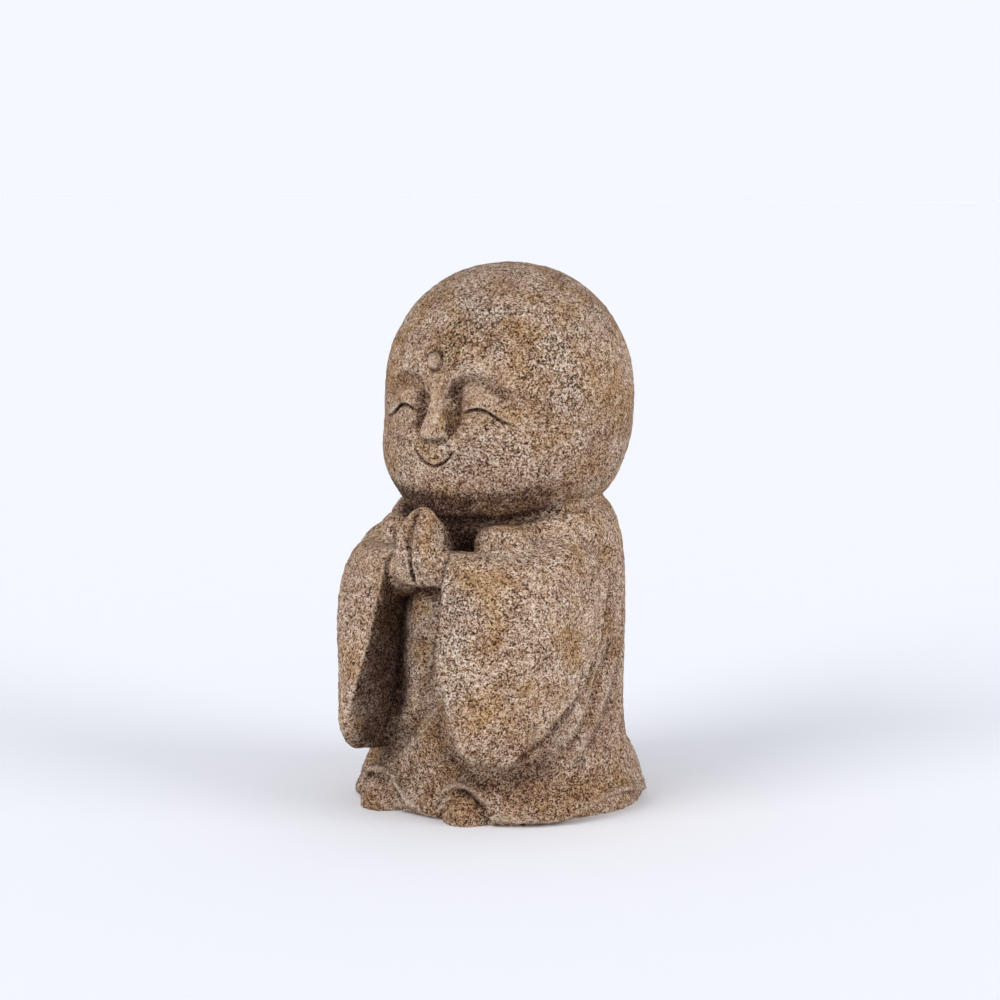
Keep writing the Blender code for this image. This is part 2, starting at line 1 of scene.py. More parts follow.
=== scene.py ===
"""Praying jizo, a small garden statue cast in sand-coloured stone mix: its looks.

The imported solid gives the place, the size and the masses. The statue is one casting,
so one piece stands for it. Its masses are copied from the solid, its hands and toes and
the cloth in the crook of each arm are modelled again finer, all of it is grown into one
body, and then the features, folds and cast grain are cut into that body.

Lengths are millimetres from the figure's own upright axis on the ground: +Z up, the
face looks along -Y, the figure's left hand is at +X. MM turns them to metres.
"""

import json
import logging
import math
from abc import ABC, abstractmethod
from collections.abc import Iterable, Sequence
from dataclasses import dataclass, field
from enum import Enum

import bpy
import numpy as np
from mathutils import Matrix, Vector, noise
from mathutils.bvhtree import BVHTree

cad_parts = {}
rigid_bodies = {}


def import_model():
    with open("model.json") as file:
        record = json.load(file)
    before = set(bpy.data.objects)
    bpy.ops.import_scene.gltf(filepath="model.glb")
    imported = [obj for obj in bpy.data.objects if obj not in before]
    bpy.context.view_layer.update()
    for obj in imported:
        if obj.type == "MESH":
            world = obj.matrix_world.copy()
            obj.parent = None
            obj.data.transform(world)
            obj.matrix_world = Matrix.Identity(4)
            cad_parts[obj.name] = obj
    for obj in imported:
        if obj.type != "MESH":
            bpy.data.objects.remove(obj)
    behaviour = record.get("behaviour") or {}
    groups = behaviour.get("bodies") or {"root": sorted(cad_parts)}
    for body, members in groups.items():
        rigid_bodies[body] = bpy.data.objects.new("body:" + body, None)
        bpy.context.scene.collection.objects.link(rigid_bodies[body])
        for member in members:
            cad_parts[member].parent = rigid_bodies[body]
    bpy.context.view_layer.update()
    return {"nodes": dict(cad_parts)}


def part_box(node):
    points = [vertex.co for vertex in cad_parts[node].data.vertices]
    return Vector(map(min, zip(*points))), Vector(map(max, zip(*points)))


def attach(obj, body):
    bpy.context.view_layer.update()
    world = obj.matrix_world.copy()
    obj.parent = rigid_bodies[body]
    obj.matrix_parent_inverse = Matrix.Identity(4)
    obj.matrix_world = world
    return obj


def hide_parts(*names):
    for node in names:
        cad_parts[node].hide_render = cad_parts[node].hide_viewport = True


log = logging.getLogger("jizo")
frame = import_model()

MM = 0.001
NODE = "statue"
BODY = "root"
# The band of the head, in metres, whose round shows the figure's axis, and how far behind the axis the
# band's back is, in millimetres
HEAD_BAND = (0.232, 0.240)
BACK_OF_HEAD = 77.6

Point = tuple[float, float, float]
Points = Sequence[Sequence[float]] | np.ndarray


def figure_axis() -> Vector:
    """The foot of the figure's upright axis, from the round of the solid's head.

    Returns:
        The foot of the axis, in metres.
    """
    co = np.array([v.co[:] for v in frame["nodes"][NODE].data.vertices])
    head = co[(co[:, 2] > HEAD_BAND[0]) & (co[:, 2] < HEAD_BAND[1])]
    middle = (head[:, 0].min() + head[:, 0].max()) / 2
    return Vector((middle, head[:, 1].max() - BACK_OF_HEAD * MM, 0.0))


AXIS = figure_axis()


class Side(Enum):
    """The figure's own left and right, as the sign of X."""

    LEFT = 1
    RIGHT = -1


@dataclass(frozen=True)
class Mark:
    """A line along which the skin is darkened, by brown and painted shade, or made paler, by wear and painted
    highlight.
    """

    points: Points
    width: float
    strength: float


@dataclass(frozen=True)
class Dab:
    """A soft hollow pressed into the skin, or a swelling where its depth is below 0."""

    centre: Point
    half: Point
    depth: float


@dataclass(frozen=True)
class Zone:
    """An upright block at the figure's front, the same to the left and the right."""

    half_width: float
    back: float
    bottom: float
    top: float

    def holds(self, co: np.ndarray) -> np.ndarray:
        """Which of the points lie in the block."""
        x, y, z = co.T
        return (np.abs(x) < self.half_width) & (y < self.back) & (z > self.bottom) & (z < self.top)


@dataclass(frozen=True)
class Profile:
    """A smooth curve through a few stations."""

    stations: tuple[tuple[float, float], ...]

    def ends(self) -> tuple[float, float]:
        """Where the curve starts and where it ends."""
        return self.stations[0][0], self.stations[-1][0]

    def at(self, x: np.ndarray | float) -> np.ndarray:
        """Height of the curve at x, level beyond its ends.

        Args:
            x: where to read it.

        Returns:
            The value at each x.
        """
        xs, ys = np.array(self.stations, float).T
        slope = np.gradient(ys, xs)
        k = np.clip(np.searchsorted(xs, x) - 1, 0, len(xs) - 2)
        h = xs[k + 1] - xs[k]
        t = np.clip((x - xs[k]) / h, 0.0, 1.0)
        rise = (1 + 2 * t) * (1 - t) ** 2 * ys[k] + t * t * (3 - 2 * t) * ys[k + 1]
        return rise + h * t * (1 - t) * ((1 - t) * slope[k] - t * slope[k + 1])


def ease(value: np.ndarray, low: float, high: float) -> np.ndarray:
    """Smooth step from 0 at low to 1 at high.

    Args:
        value: numbers to map.
        low: where it starts.
        high: where it ends; below low it runs downwards.

    Returns:
        Numbers from 0 to 1.
    """
    t = np.clip((value - low) / (high - low), 0.0, 1.0)
    return t * t * (3.0 - 2.0 * t)


def band(value: np.ndarray, low: float, full: float, last: float, high: float) -> np.ndarray:
    """Smooth window: 0 up to low, 1 from full to last, and 0 again past high.

    Args:
        value: numbers to map.
        low: where it starts to rise.
        full: where it is first full.
        last: where it starts to fall.
        high: where it is 0 again.

    Returns:
        Numbers from 0 to 1.
    """
    return ease(value, low, full) * ease(value, high, last)


def tapered(place: np.ndarray, taper: float) -> np.ndarray | float:
    """Fade of a stroke toward both its ends.

    Args:
        place: place along the stroke, from 0 to 1.
        taper: share of it over which each end fades.

    Returns:
        Numbers from 0 to 1.
    """
    return ease(np.minimum(place, 1.0 - place), 0.0, taper) if taper else 1.0


def mirrors() -> list[np.ndarray]:
    """What the left side's points are multiplied by on each side of the figure."""
    return [np.array([side.value, 1.0, 1.0]) for side in Side]


def shifted(points: Points, x: float, y: float, z: float) -> np.ndarray:
    """The points moved by x, y and z."""
    return np.array(points) + (x, y, z)


def read(items: bpy.types.bpy_prop_collection, name: str, width: int, kind: type = float) -> np.ndarray:
    """Read one property of a mesh's points, edges or faces.

    Args:
        items: the points, edges or faces.
        name: the property.
        width: how many numbers each one has.
        kind: type of the numbers.

    Returns:
        One row for each item.
    """
    values = np.empty(len(items) * width, kind)
    items.foreach_get(name, values)
    return values.reshape(-1, width)


def deselect() -> None:
    """Leave nothing selected and stay in object mode."""
    if bpy.context.object and bpy.context.object.mode != "OBJECT":
        bpy.ops.object.mode_set(mode="OBJECT")
    bpy.ops.object.select_all(action="DESELECT")


def activate(piece: bpy.types.Object) -> None:
    """Make the piece the only selected one, and active.

    Args:
        piece: the object.
    """
    deselect()
    piece.select_set(True)
    bpy.context.view_layer.objects.active = piece


def open_up(piece: bpy.types.Object) -> None:
    """Put the piece in edit mode with all of it selected.

    Args:
        piece: the object.
    """
    activate(piece)
    bpy.ops.object.mode_set(mode="EDIT")
    bpy.ops.mesh.select_all(action="SELECT")


def plane_off(piece: bpy.types.Object, place: Sequence[float], out: Sequence[float]) -> None:
    """Cut away what lies beyond a plane and close the cut.

    Args:
        piece: the object to cut.
        place: a point of the plane, in metres.
        out: the way the plane looks.
    """
    open_up(piece)
    bpy.ops.mesh.bisect(plane_co=place, plane_no=out, use_fill=True, clear_outer=True)
    bpy.ops.mesh.select_all(action="SELECT")
    bpy.ops.mesh.normals_make_consistent(inside=False)
    bpy.ops.object.mode_set(mode="OBJECT")


def apply_modifier(piece: bpy.types.Object, kind: str, **settings: object) -> None:
    """Add a modifier with its settings and apply it.

    Args:
        piece: the object to change.
        kind: Blender's modifier type.
        settings: the modifier's own properties.
    """
    activate(piece)
    modifier = piece.modifiers.new(kind.lower(), kind)
    for name, value in settings.items():
        setattr(modifier, name, value)
    bpy.ops.object.modifier_apply(modifier=modifier.name)


def ball(centre: Sequence[float], half: Point) -> bpy.types.Object:
    """A solid egg, to be grown into the body.

    Args:
        centre: its middle, in millimetres from the figure's axis.
        half: its half sizes, in millimetres.

    Returns:
        The egg.
    """
    deselect()
    where = Vector(centre) * MM + AXIS
    bpy.ops.mesh.primitive_uv_sphere_add(segments=48, ring_count=32, radius=MM, location=where, scale=half)
    bpy.ops.object.transform_apply(location=True, rotation=True, scale=True)
    return bpy.context.object


class Chisel:
    """The points of a mesh, worked in millimetres with soft strokes and dabs."""

    # Steps that a line is measured in, and how far from it points are still measured
    CHAIN_STEP = 0.9
    REACH = 18.0
    # Share of the way to its neighbours' mean that a point melts, and then swells back again
    MELT = 0.6
    SWELL = -0.61

    def __init__(self, piece: bpy.types.Object) -> None:
        """Read the piece's points.

        Args:
            piece: the mesh object to work.
        """
        self.mesh = piece.data
        self.origin = np.array(AXIS) / MM
        self.co = read(self.mesh.vertices, "co", 3) / MM - self.origin
        ends = read(self.mesh.edges, "vertices", 2, int)
        self.a, self.b = ends.T
        self.degree = np.maximum(np.bincount(ends.ravel(), minlength=len(self.co)), 1)[:, None]
        self.refresh()

    def refresh(self) -> None:
        """Write the points back and read the normals again."""
        self.mesh.vertices.foreach_set("co", ((self.co + self.origin) * MM).ravel())
        self.mesh.update()
        self.normal = read(self.mesh.vertices, "normal", 3)

    def gathered(self, values: np.ndarray, a: np.ndarray, b: np.ndarray) -> np.ndarray:
        """Sum of each point's neighbours.

        Args:
            values: one row for each point.
            a: one end of each edge to gather along.
            b: its other end.

        Returns:
            The same shape of array.
        """
        total = np.empty_like(values)
        for column in range(values.shape[1]):
            total[:, column] = np.bincount(a, values[b, column], len(values))
            total[:, column] += np.bincount(b, values[a, column], len(values))
        return total

    def averaged(self, values: np.ndarray) -> np.ndarray:
        """Mean of each point's neighbours, where values has one row for each point."""
        return self.gathered(values, self.a, self.b) / self.degree

    def smooth(self, rounds: int, weight: np.ndarray | float = 1.0) -> None:
        """Relax the surface, shrinking and growing in turn so it keeps its size.

        Args:
            rounds: how many pairs of passes.
            weight: how much of each move a point takes.
        """
        share = np.broadcast_to(weight, len(self.co))[:, None]
        for step in range(rounds * 2):
            move = self.averaged(self.co) - self.co
            self.co += move * share * (self.MELT if step % 2 == 0 else self.SWELL)
        self.refresh()

    def relax(self, rounds: int, weight: np.ndarray) -> None:
        """Melt the surface towards its neighbours, so that kinks and steps fade.

        Args:
            rounds: how many passes.
            weight: how much of each move a point takes.
        """
        near = np.where(weight > 0.01)[0]
        inside = np.zeros(len(self.co), bool)
        inside[near] = True
        pairs = inside[self.a] | inside[self.b]
        a, b = self.a[pairs], self.b[pairs]
        for _ in range(rounds):
            mean = self.gathered(self.co, a, b)[near] / self.degree[near]
            self.co[near] += (mean - self.co[near]) * self.MELT * weight[near, None]
        self.refresh()

    def land(self, points: Points) -> np.ndarray:
        """Put each of the points on the nearest point of the skin.

        Args:
            points: places close to the skin.

        Returns:
            The places on it.
        """
        marks = np.array(points, float)
        return np.array([self.co[((self.co - mark) ** 2).sum(1).argmin()] for mark in marks])

    def distance(self, points: Points) -> tuple[np.ndarray, np.ndarray, np.ndarray]:
        """Distance of every point of the mesh to a smooth chain.

        Args:
            points: the chain's own points.

        Returns:
            The distance, the place along the chain from 0 to 1, and the offset across it in the
            skin, which is positive on the left of a chain drawn downwards and seen from outside.
        """
        marks = np.array(points, float)
        length = np.concatenate([[0], np.cumsum(np.linalg.norm(np.diff(marks, axis=0), axis=1))])
        steps = np.linspace(0.0, length[-1], max(3, int(length[-1] / self.CHAIN_STEP)))
        chain = np.stack([Profile(tuple(zip(length, marks[:, k]))).at(steps) for k in range(3)], 1)
        low, high = chain.min(0) - self.REACH, chain.max(0) + self.REACH
        near = np.where(((self.co > low) & (self.co < high)).all(1))[0]
        co, normal = self.co[near], self.normal[near]
        best, at, across = np.full(len(near), np.inf), np.zeros(len(near)), np.zeros(len(near))
        for k, (start, end) in enumerate(zip(chain, chain[1:])):
            run = end - start
            t = np.clip((co - start) @ run / (run @ run), 0.0, 1.0)
            offset = co - start - t[:, None] * run
            gap = np.linalg.norm(offset, axis=1)
            closer = gap < best
            best[closer] = gap[closer]
            at[closer] = (k + t[closer]) / (len(chain) - 1)
            side = np.cross(run, normal[closer])
            wide = np.maximum(np.linalg.norm(side, axis=1), 1e-6)
            across[closer] = (offset[closer] * side).sum(1) / wide
        reach, place, offsets = np.full(len(self.co), np.inf), np.zeros(len(self.co)), np.zeros(len(self.co))
        reach[near], place[near], offsets[near] = best, at, across
        return reach, place, offsets

    def stroke(self, points: Points, width: float, depth: float, taper: float = 0.15,
               land: bool = True) -> None:
        """Cut a soft groove (depth above 0) or raise a ridge along the points.

        Args:
            points: the stroke's path.
            width: distance at which the cut has faded to about a third.
            depth: how deep, in millimetres.
            taper: share of the path over which each end fades.
            land: move the points onto the skin first.
        """
        gap, place, _ = self.distance(self.land(points) if land else points)
        cut = depth * np.exp(-((gap / width) ** 2)) * tapered(place, taper)
        self.co -= self.normal * cut[:, None]
        self.refresh()

    def fold(self, points: Points, width: float, height: float, taper: float = 0.2) -> None:
        """Make a fold's edge: raise one side of the path and sink the other.

        Args:
            points: the edge's path, drawn downwards.
            width: distance from the edge to the top of the rise.
            height: rise on the left seen from outside, and the same fall on the right.
            taper: share of the path over which each end fades.
        """
        gap, place, across = self.distance(self.land(points))
        # q * exp(-q * q) peaks at 1 / 1.41, where it is 1 / 2.33
        q = across / (width * 1.41)
        rise = 2.33 * height * q * np.exp(-((gap / (width * 1.41)) ** 2)) * tapered(place, taper)
        self.co += self.normal * np.nan_to_num(rise)[:, None]
        self.refresh()

    def press(self, dabs: Iterable[Dab], mirror: np.ndarray | float = 1.0) -> None:
        """Press soft hollows, or raise swellings, one after another.

        Args:
            dabs: the hollows.
            mirror: what their middles are multiplied by.
        """
        for dab in dabs:
            q = (self.co - mirror * np.array(dab.centre)) / np.array(dab.half)
            self.co -= self.normal * (dab.depth * np.exp(-(q**2).sum(1)))[:, None]
            self.refresh()

    def bend(self, rounds: int) -> np.ndarray:
        """How the surface bends at each point, in 1/mm: above 0 in hollows, below 0 on edges.

        Args:
            rounds: passes of averaging, so that more of them reads broader shapes.

        Returns:
            The bend.
        """
        run = self.co[self.b] - self.co[self.a]
        square = np.maximum((run**2).sum(1), 0.01)
        at_a = (run * self.normal[self.a]).sum(1) / square
        at_b = -(run * self.normal[self.b]).sum(1) / square
        total = np.bincount(self.a, at_a, len(self.co)) + np.bincount(self.b, at_b, len(self.co))
        bend = total[:, None] / self.degree
        for _ in range(rounds):
            bend = self.averaged(bend)
        return bend[:, 0]

    def paint(self, name: str, values: np.ndarray) -> None:
        """Store one number for each point as a named attribute.

        Args:
            name: the attribute's name.
            values: numbers from 0 to 1.
        """
        layer = self.mesh.attributes.get(name) or self.mesh.attributes.new(name, "FLOAT", "POINT")
        layer.data.foreach_set("value", np.clip(values, 0.0, 1.0).astype(np.float32))


class Feature(ABC):
    """A part of the figure that cuts itself into the body and knows its lines of brown and painted shade, and
    its worn edges.
    """

    @abstractmethod
    def carve(self, work: Chisel) -> None:
        """Cut the part into the body that is being worked."""

    @abstractmethod
    def shadows(self) -> list[Mark]:
        """Lines where brown and painted shade lie."""

    def edges(self) -> list[Mark]:
        """Worn edges with painted highlight, none unless a part says so."""
        return []


@dataclass
class Head(Feature):
    """Round head with a sleeping child's face: brow hollows, lids, nose, smile and bead."""

    # The head's level outline is |x|^power + |y|^power: 2 is an ellipse, and more is squarer
    power: float = 2.14
    # The head by height: the middle of its round, its half width, and its front from that middle
    centre: Profile = Profile(((181, 2.8), (188, 2.8), (194, 3.9), (201, 5.6), (208, 7.6), (216, 8.8),
                               (228, 9), (270, 9)))
    half: Profile = Profile(((181, 62.3), (187.7, 65.2), (194.4, 67.2), (201, 68.3), (207.7, 68.6),
                             (216, 68.7), (228, 69), (236, 68.6), (244, 67.4), (252, 65.3), (260, 62.1),
                             (268, 57.8)))
    front: Profile = Profile(((181, 60.2), (187.7, 62), (194.4, 63.6), (201, 65.2), (207.7, 66.4),
                              (216, 66.6), (228, 66), (236, 65.4), (244, 64.8), (252, 63.4), (260, 61),
                              (268, 57.2)))
    # Lines of the face: (degrees round the head from the face's middle, height)
    lid: Profile = Profile(((8, 222), (12, 222.1), (15, 222.4), (18.5, 224), (22.5, 224.9), (26.5, 223.8),
                            (30.5, 220.8), (34.5, 218.3), (39, 216.8), (46, 215.6)))
    brow: Profile = Profile(((6, 232.4), (8, 237.8), (11.5, 240.9), (17.5, 242.6), (24, 242), (30.5, 239),
                             (36, 234), (41, 227.2), (46, 218.6)))
    over_brow: Points = ((8.5, 240.5), (14, 244.4), (21, 244.8), (29, 242), (36, 236.5), (42, 228))
    mouth: Points = ((-11.4, 202.4), (-9.6, 199.4), (-7.4, 196.6), (-4.3, 194.2), (0, 192.9), (4.6, 194.2),
                     (8, 197), (10.4, 200.2), (12.2, 203.2))
    nostril: Points = ((9.6, 214.5), (8.6, 209), (4.5, 205.8), (0, 205.4))
    nose_side: Points = ((9, 236), (10.5, 229), (11, 221), (10, 212))
    # Brow hollow: depth by angle, and its shape from the lid's edge (0) up to the brow (1)
    hollow: Profile = Profile(((4, 1.6), (7, 5.7), (11, 6.3), (16, 5.4), (24, 4.2), (31, 3), (37, 1.3),
                               (43, 0.3), (46, 0)))
    over_lid: Profile = Profile(((0, 0.34), (0.14, 0.27), (0.36, 0.42), (0.6, 0.9), (0.76, 1), (0.9, 0.55),
                                 (1, 0.08), (1.12, -0.06), (1.3, 0)))
    by_nose: Profile = Profile(((0, 1), (0.2, 0.95), (0.45, 1), (0.7, 0.9), (0.88, 0.45), (1, 0.05),
                                (1.3, 0)))
    # Nose by height: its half width, and how far it stands out of the face
    nose_half: Profile = Profile(((206.8, 7.4), (208, 8.1), (210.5, 8.4), (214.5, 7.9), (219, 6.2),
                                  (224, 4.9), (229, 4.3), (234, 4.4), (239, 5)))
    nose_rise: Profile = Profile(((206.8, 0), (208, 4.6), (210.5, 6.9), (214.5, 7.2), (219, 5.9),
                                  (224, 4.3), (229, 2.7), (234, 1.2), (239, 0)))
    bead: tuple[float, float] = (-1.8, 249.2)
    bead_half: tuple[float, float] = (4.4, 4.9)
    bead_rise: float = 3.8
    bead_moat: float = 0.7

    def surface(self, degrees: np.ndarray | float, z: np.ndarray | float) -> np.ndarray:
        """Distance of the plain head's skin from the head's axis.

        Args:
            degrees: angle round the head from the face's middle.
            z: height.

        Returns:
            The distance at each place.
        """
        s, c = np.sin(np.radians(degrees)), np.cos(np.radians(degrees))
        total = np.abs(s / self.half.at(z)) ** self.power + np.abs(c / self.front.at(z)) ** self.power
        return total ** (-1.0 / self.power)

    def spot(self, degrees: float, z: float, rise: float = 0.0) -> Point:
        """A point on the head's skin.

        Args:
            degrees: angle from the face's middle, positive to the figure's left.
            z: height.
            rise: distance above the skin.

        Returns:
            The point.
        """
        r = float(self.surface(degrees, z)) + rise
        turn = math.radians(degrees)
        return (r * math.sin(turn), float(self.centre.at(z)) - r * math.cos(turn), z)

    def trail(self, line: Points, side: Side = Side.LEFT, up: float = 0.0, rise: float = 0.0) -> list[Point]:
        """A line of the face laid on the head's skin.

        Args:
            line: its degrees and heights, for the figure's left.
            side: the side it lies on.
            up: how far it is moved up.
            rise: distance above the skin.

        Returns:
            The points.
        """
        return [self.spot(side.value * degrees, z + up, rise) for degrees, z in line]

    def round_off(self, work: Chisel) -> np.ndarray:
        """Make the front of the head smooth and round again before its features are cut.

        Args:
            work: the body.

        Returns:
            How far each point belongs to the face, from 0 to 1.
        """
        x, y, z = work.co.T
        middle = self.centre.at(z)
        out = np.stack([x, y - middle], axis=1)
        radius = np.maximum(np.linalg.norm(out, axis=1), 1.0)
        degrees = np.degrees(np.arctan2(np.abs(x), middle - y))
        face = ease(degrees, 60.0, 50.0) * ease(z, 183.0, 189.0) * ease(z, 264.0, 257.0)
        face *= (y < middle) & (radius > 45.0)
        move = (self.surface(degrees, z) / radius - 1.0) * face
        work.co[:, :2] += out * move[:, None]
        work.refresh()
        return face

    def carve(self, work: Chisel) -> None:
        """Cut the brow hollows, lids, nose, smile and bead.

        Args:
            work: the body.
        """
        inside = self.round_off(work) > 0.5
        x, y, z = work.co.T
        middle = self.centre.at(z)
        degrees = np.degrees(np.arctan2(np.abs(x), middle - y))
        # Height over the lid's edge as a share of the way up to the brow, and 1 in the corner by the nose
        lid, brow = self.lid.at(degrees), self.brow.at(degrees)
        height = (z - lid) / np.maximum(brow - lid, 4.0)
        corner = ease(degrees, 15.5, 10.0)
        above = self.over_lid.at(height) * (1 - corner) + self.by_nose.at(height) * corner
        # Below the lid the hollow runs out into the cheek, further down by the nose
        drop = np.clip((lid - z) / (9.0 + 5.0 * corner), 0.0, 1.0)
        below = (0.46 + 0.54 * corner) * (1.0 - drop) ** 2 * (1.0 + 2.0 * drop)
        shape = below + (above - below) * ease(z - lid, -0.5, 0.3)
        depth = self.hollow.at(degrees) * (degrees < self.hollow.ends()[1])
        sink = np.where(inside & (height < self.over_lid.ends()[1]), depth * shape, 0.0)
        out = np.stack([x, y - middle, np.zeros_like(x)], axis=1)
        out /= np.maximum(np.linalg.norm(out, axis=1), 1.0)[:, None]
        work.co -= out * sink[:, None]
        self.carve_nose(work, inside)
        # The inner half of each hollow is smoothed, but not across the lid's edge
        inner = ease(np.abs(x), 5.0, 8.0) * ease(np.abs(x), 26.0, 16.0)
        inner = inner * ease(z, 206.0, 210.0) * ease(z, 246.0, 240.0)
        away = 1.0 - np.exp(-(((z - lid) / 1.2) ** 2)) * ease(degrees, 12.0, 16.0)
        work.smooth(6, inner * away * inside)
        self.carve_bead(work)
        self.carve_lines(work)

    def carve_nose(self, work: Chisel, inside: np.ndarray) -> None:
        """Raise the small round nose and its low bridge.

        Args:
            work: the body.
            inside: which points belong to the face.
        """
        x, _, z = work.co.T
        across = np.clip(np.abs(x) / self.nose_half.at(z), 0.0, 1.0)
        round_tip = 2.4 * across**2 * ease(z, 216.0, 210.0)
        nose = self.nose_rise.at(z - round_tip) * (1.0 - across**2.6) ** 0.6
        low, high = self.nose_rise.ends()
        work.co[:, 1] -= np.where(inside & (z > low) & (z < high), nose, 0.0)
        work.refresh()

    def carve_bead(self, work: Chisel) -> None:
        """Raise the oval bead on the forehead in its narrow moat.

        Args:
            work: the body.
        """
        x, y, z = work.co.T
        q = np.hypot((x - self.bead[0]) / self.bead_half[0], (z - self.bead[1]) / self.bead_half[1])
        dome = self.bead_rise * np.clip(1.0 - q**2, 0.0, 1.0) ** 0.5
        moat = self.bead_moat * np.exp(-(((q - 1.14) / 0.15) ** 2))
        work.co[:, 1] -= np.where((y < -45.0) & (q < 2.0), dome - moat, 0.0)
        work.refresh()

    def carve_lines(self, work: Chisel) -> None:
        """Cheeks, the dark line under each lid, the fold over each brow, the smile and the nose's foot.

        Args:
            work: the body.
        """
        lid = self.lid.stations[1:-1]
        for side in Side:
            work.press([Dab(self.spot(side.value * 28.0, 205.0), (14, 14, 10), -1.0)])
            work.stroke(self.trail(lid, side, -0.6, -1.6), 0.85, 1.5, taper=0.25)
            work.stroke(self.trail(lid, side, 1.3, -1.0), 1.2, -0.75, taper=0.2)
            work.stroke(self.trail(self.over_brow, side), 1.6, -0.7, taper=0.3)
        work.press([Dab(self.spot(0.0, 200.0), (10, 9, 5), -0.7)])
        work.stroke(self.trail(self.mouth, rise=-0.4), 0.85, 1.9, taper=0.2)
        work.stroke(self.trail(self.mouth[2:-2], up=-2.8), 1.8, -0.6, taper=0.3)
        for side in Side:
            work.stroke(self.trail(self.nostril, side), 1.1, 0.7, taper=0.2)

    def shadows(self) -> list[Mark]:
        """Painted shade and brown: under the lids and brows, in the smile, round the nose and the bead.

        Returns:
            The lines.
        """
        turns = np.linspace(0.0, 2.0 * math.pi, 13)
        moat = np.stack([self.bead[0] + 1.16 * self.bead_half[0] * np.cos(turns), np.full(13, -55.0),
                         self.bead[1] + 1.16 * self.bead_half[1] * np.sin(turns)], 1)
        under_nose = [(degrees, 205.8) for degrees in (-8.0, -4.0, 0.0, 4.0, 8.0)]
        marks = [Mark(self.trail(self.mouth[1:-1], rise=-1.0), 0.7, 0.9),
                 Mark(self.trail(under_nose, rise=-0.5), 1.2, 0.4), Mark(moat, 0.7, 0.5)]
        for side in Side:
            marks += [Mark(self.trail(self.lid.stations[1:-1], side, -0.7, -2.5), 0.75, 0.8),
                      Mark(self.trail(self.nose_side, side, rise=-3.0), 4.0, 0.75),
                      Mark(self.trail(self.brow.stations[1:-2], side, -3.5, -3.0), 4.4, 0.36)]
        return marks

    def edges(self) -> list[Mark]:
        """Worn edges with painted highlight: the lids, the nose's ridge and the bead.

        Returns:
            The lines.
        """
        bead = [(self.bead[0], -60.5, self.bead[1] + up) for up in (-2.0, 2.0)]
        marks = [Mark(((0, -62, 230), (0, -67, 219), (0, -69, 211)), 3.6, 0.35), Mark(bead, 4.4, 1.0)]
        return marks + [Mark(self.trail(self.lid.stations[1:-1], side, 1.5, -2.0), 1.3, 0.5) for side in Side]


@dataclass
class Hands(Feature):
    """Two flat hands pressed together under the chin."""

    foot: float = 129.0
    tip: float = 172.0
    # The pair by height: its front and back edges and its thickness
    front: Profile = Profile(((129, -71), (132.5, -74.4), (136, -76.6), (142, -79.2), (149, -81),
                              (155, -81.2), (161, -79.2), (166, -76), (169.6, -72.6), (172, -69)))
    back: Profile = Profile(((129, -54), (132.5, -51.4), (136, -50), (142, -49.6), (149, -51),
                             (155, -53.6), (161, -56.8), (166, -60.2), (169.6, -63.6), (172, -66)))
    thick: Profile = Profile(((129, 12), (131.5, 14.6), (135, 15.6), (142, 14.8), (149, 13.2), (155, 11.8),
                              (161, 10.2), (166, 8.2), (169.6, 5.8), (172, 2)))
    cuff: Points = ((12.5, -50, 151), (15, -59, 147), (17, -68, 141), (17.5, -75, 133), (14, -75, 128))
    behind: Points = ((8, -50, 168), (12, -45, 158), (15, -43, 149))
    below: Points = ((-16, -70, 127.5), (0, -72, 127), (16, -70, 127.5))
    palm_gap: float = 0.35
    # Where the left hand's back edge is planed off along the thumb, and the way that plane looks
    thumb_cut: Point = (12.0, -57.0, 150.4)
    thumb_out: Point = (0.84, 0.5, 0.22)

    def build(self) -> list[bpy.types.Object]:
        """Model both hands.

        Returns:
            The two hands.
        """
        hands = [self.hand(side) for side in Side]
        log.info("hands: %d pieces", len(hands))
        return hands

    def hand(self, side: Side) -> bpy.types.Object:
        """One hand, shaped from a ball.

        Args:
            side: which hand.

        Returns:
            The hand.
        """
        deselect()
        bpy.ops.mesh.primitive_uv_sphere_add(segments=48, ring_count=40, radius=1.0)
        hand = bpy.context.object
        u, v, w = read(hand.data.vertices, "co", 3).T
        z = (self.foot + self.tip) / 2 + w * (self.tip - self.foot) / 2
        ring = np.maximum(np.hypot(u, v), 1e-6)
        front, back, thick = self.front.at(z), self.back.at(z), self.thick.at(z) / 2
        keep = np.minimum(1.0, ring / 0.25)
        x = thick * (1.0 + keep * np.sign(u) * np.abs(u / ring) ** 0.8) - self.palm_gap
        y = (front + back) / 2 + keep * (back - front) / 2 * np.sign(v) * np.abs(v / ring) ** 0.9
        placed = np.stack([side.value * x, y, z], 1) * MM + np.array(AXIS)
        hand.data.vertices.foreach_set("co", placed.ravel())
        place = Vector(self.thumb_cut) * MM
        place.x *= side.value
        out = Vector(self.thumb_out)
        out.x *= side.value
        plane_off(hand, place + AXIS, out)
        return hand

    def palms(self, rise: float = 0.0) -> list[Point]:
        """The line where the palms meet, rise behind the hands' front edge."""
        return [(0.0, float(self.front.at(z)) + rise, z) for z in np.arange(self.foot + 2.0, self.tip, 3.0)]

    def carve(self, work: Chisel) -> None:
        """Cut the line where the palms meet, and the crease above each wrist.

        Args:
            work: the body.
        """
        work.stroke(self.palms(), 0.95, 2.2, taper=0.06, land=False)
        for mirror in mirrors():
            work.stroke(mirror * self.cuff, 1.5, 1.8, taper=0.2)

    def shadows(self) -> list[Mark]:
        """Painted shade and brown: between the palms, and above, below and behind the wrists.

        Returns:
            The lines.
        """
        marks = [Mark(self.palms(0.6), 1.0, 0.85), Mark(self.below, 2.6, 0.7)]
        for mirror in mirrors():
            marks += [Mark(mirror * self.cuff, 1.5, 0.75), Mark(mirror * self.behind, 6.5, 0.7)]
        return marks


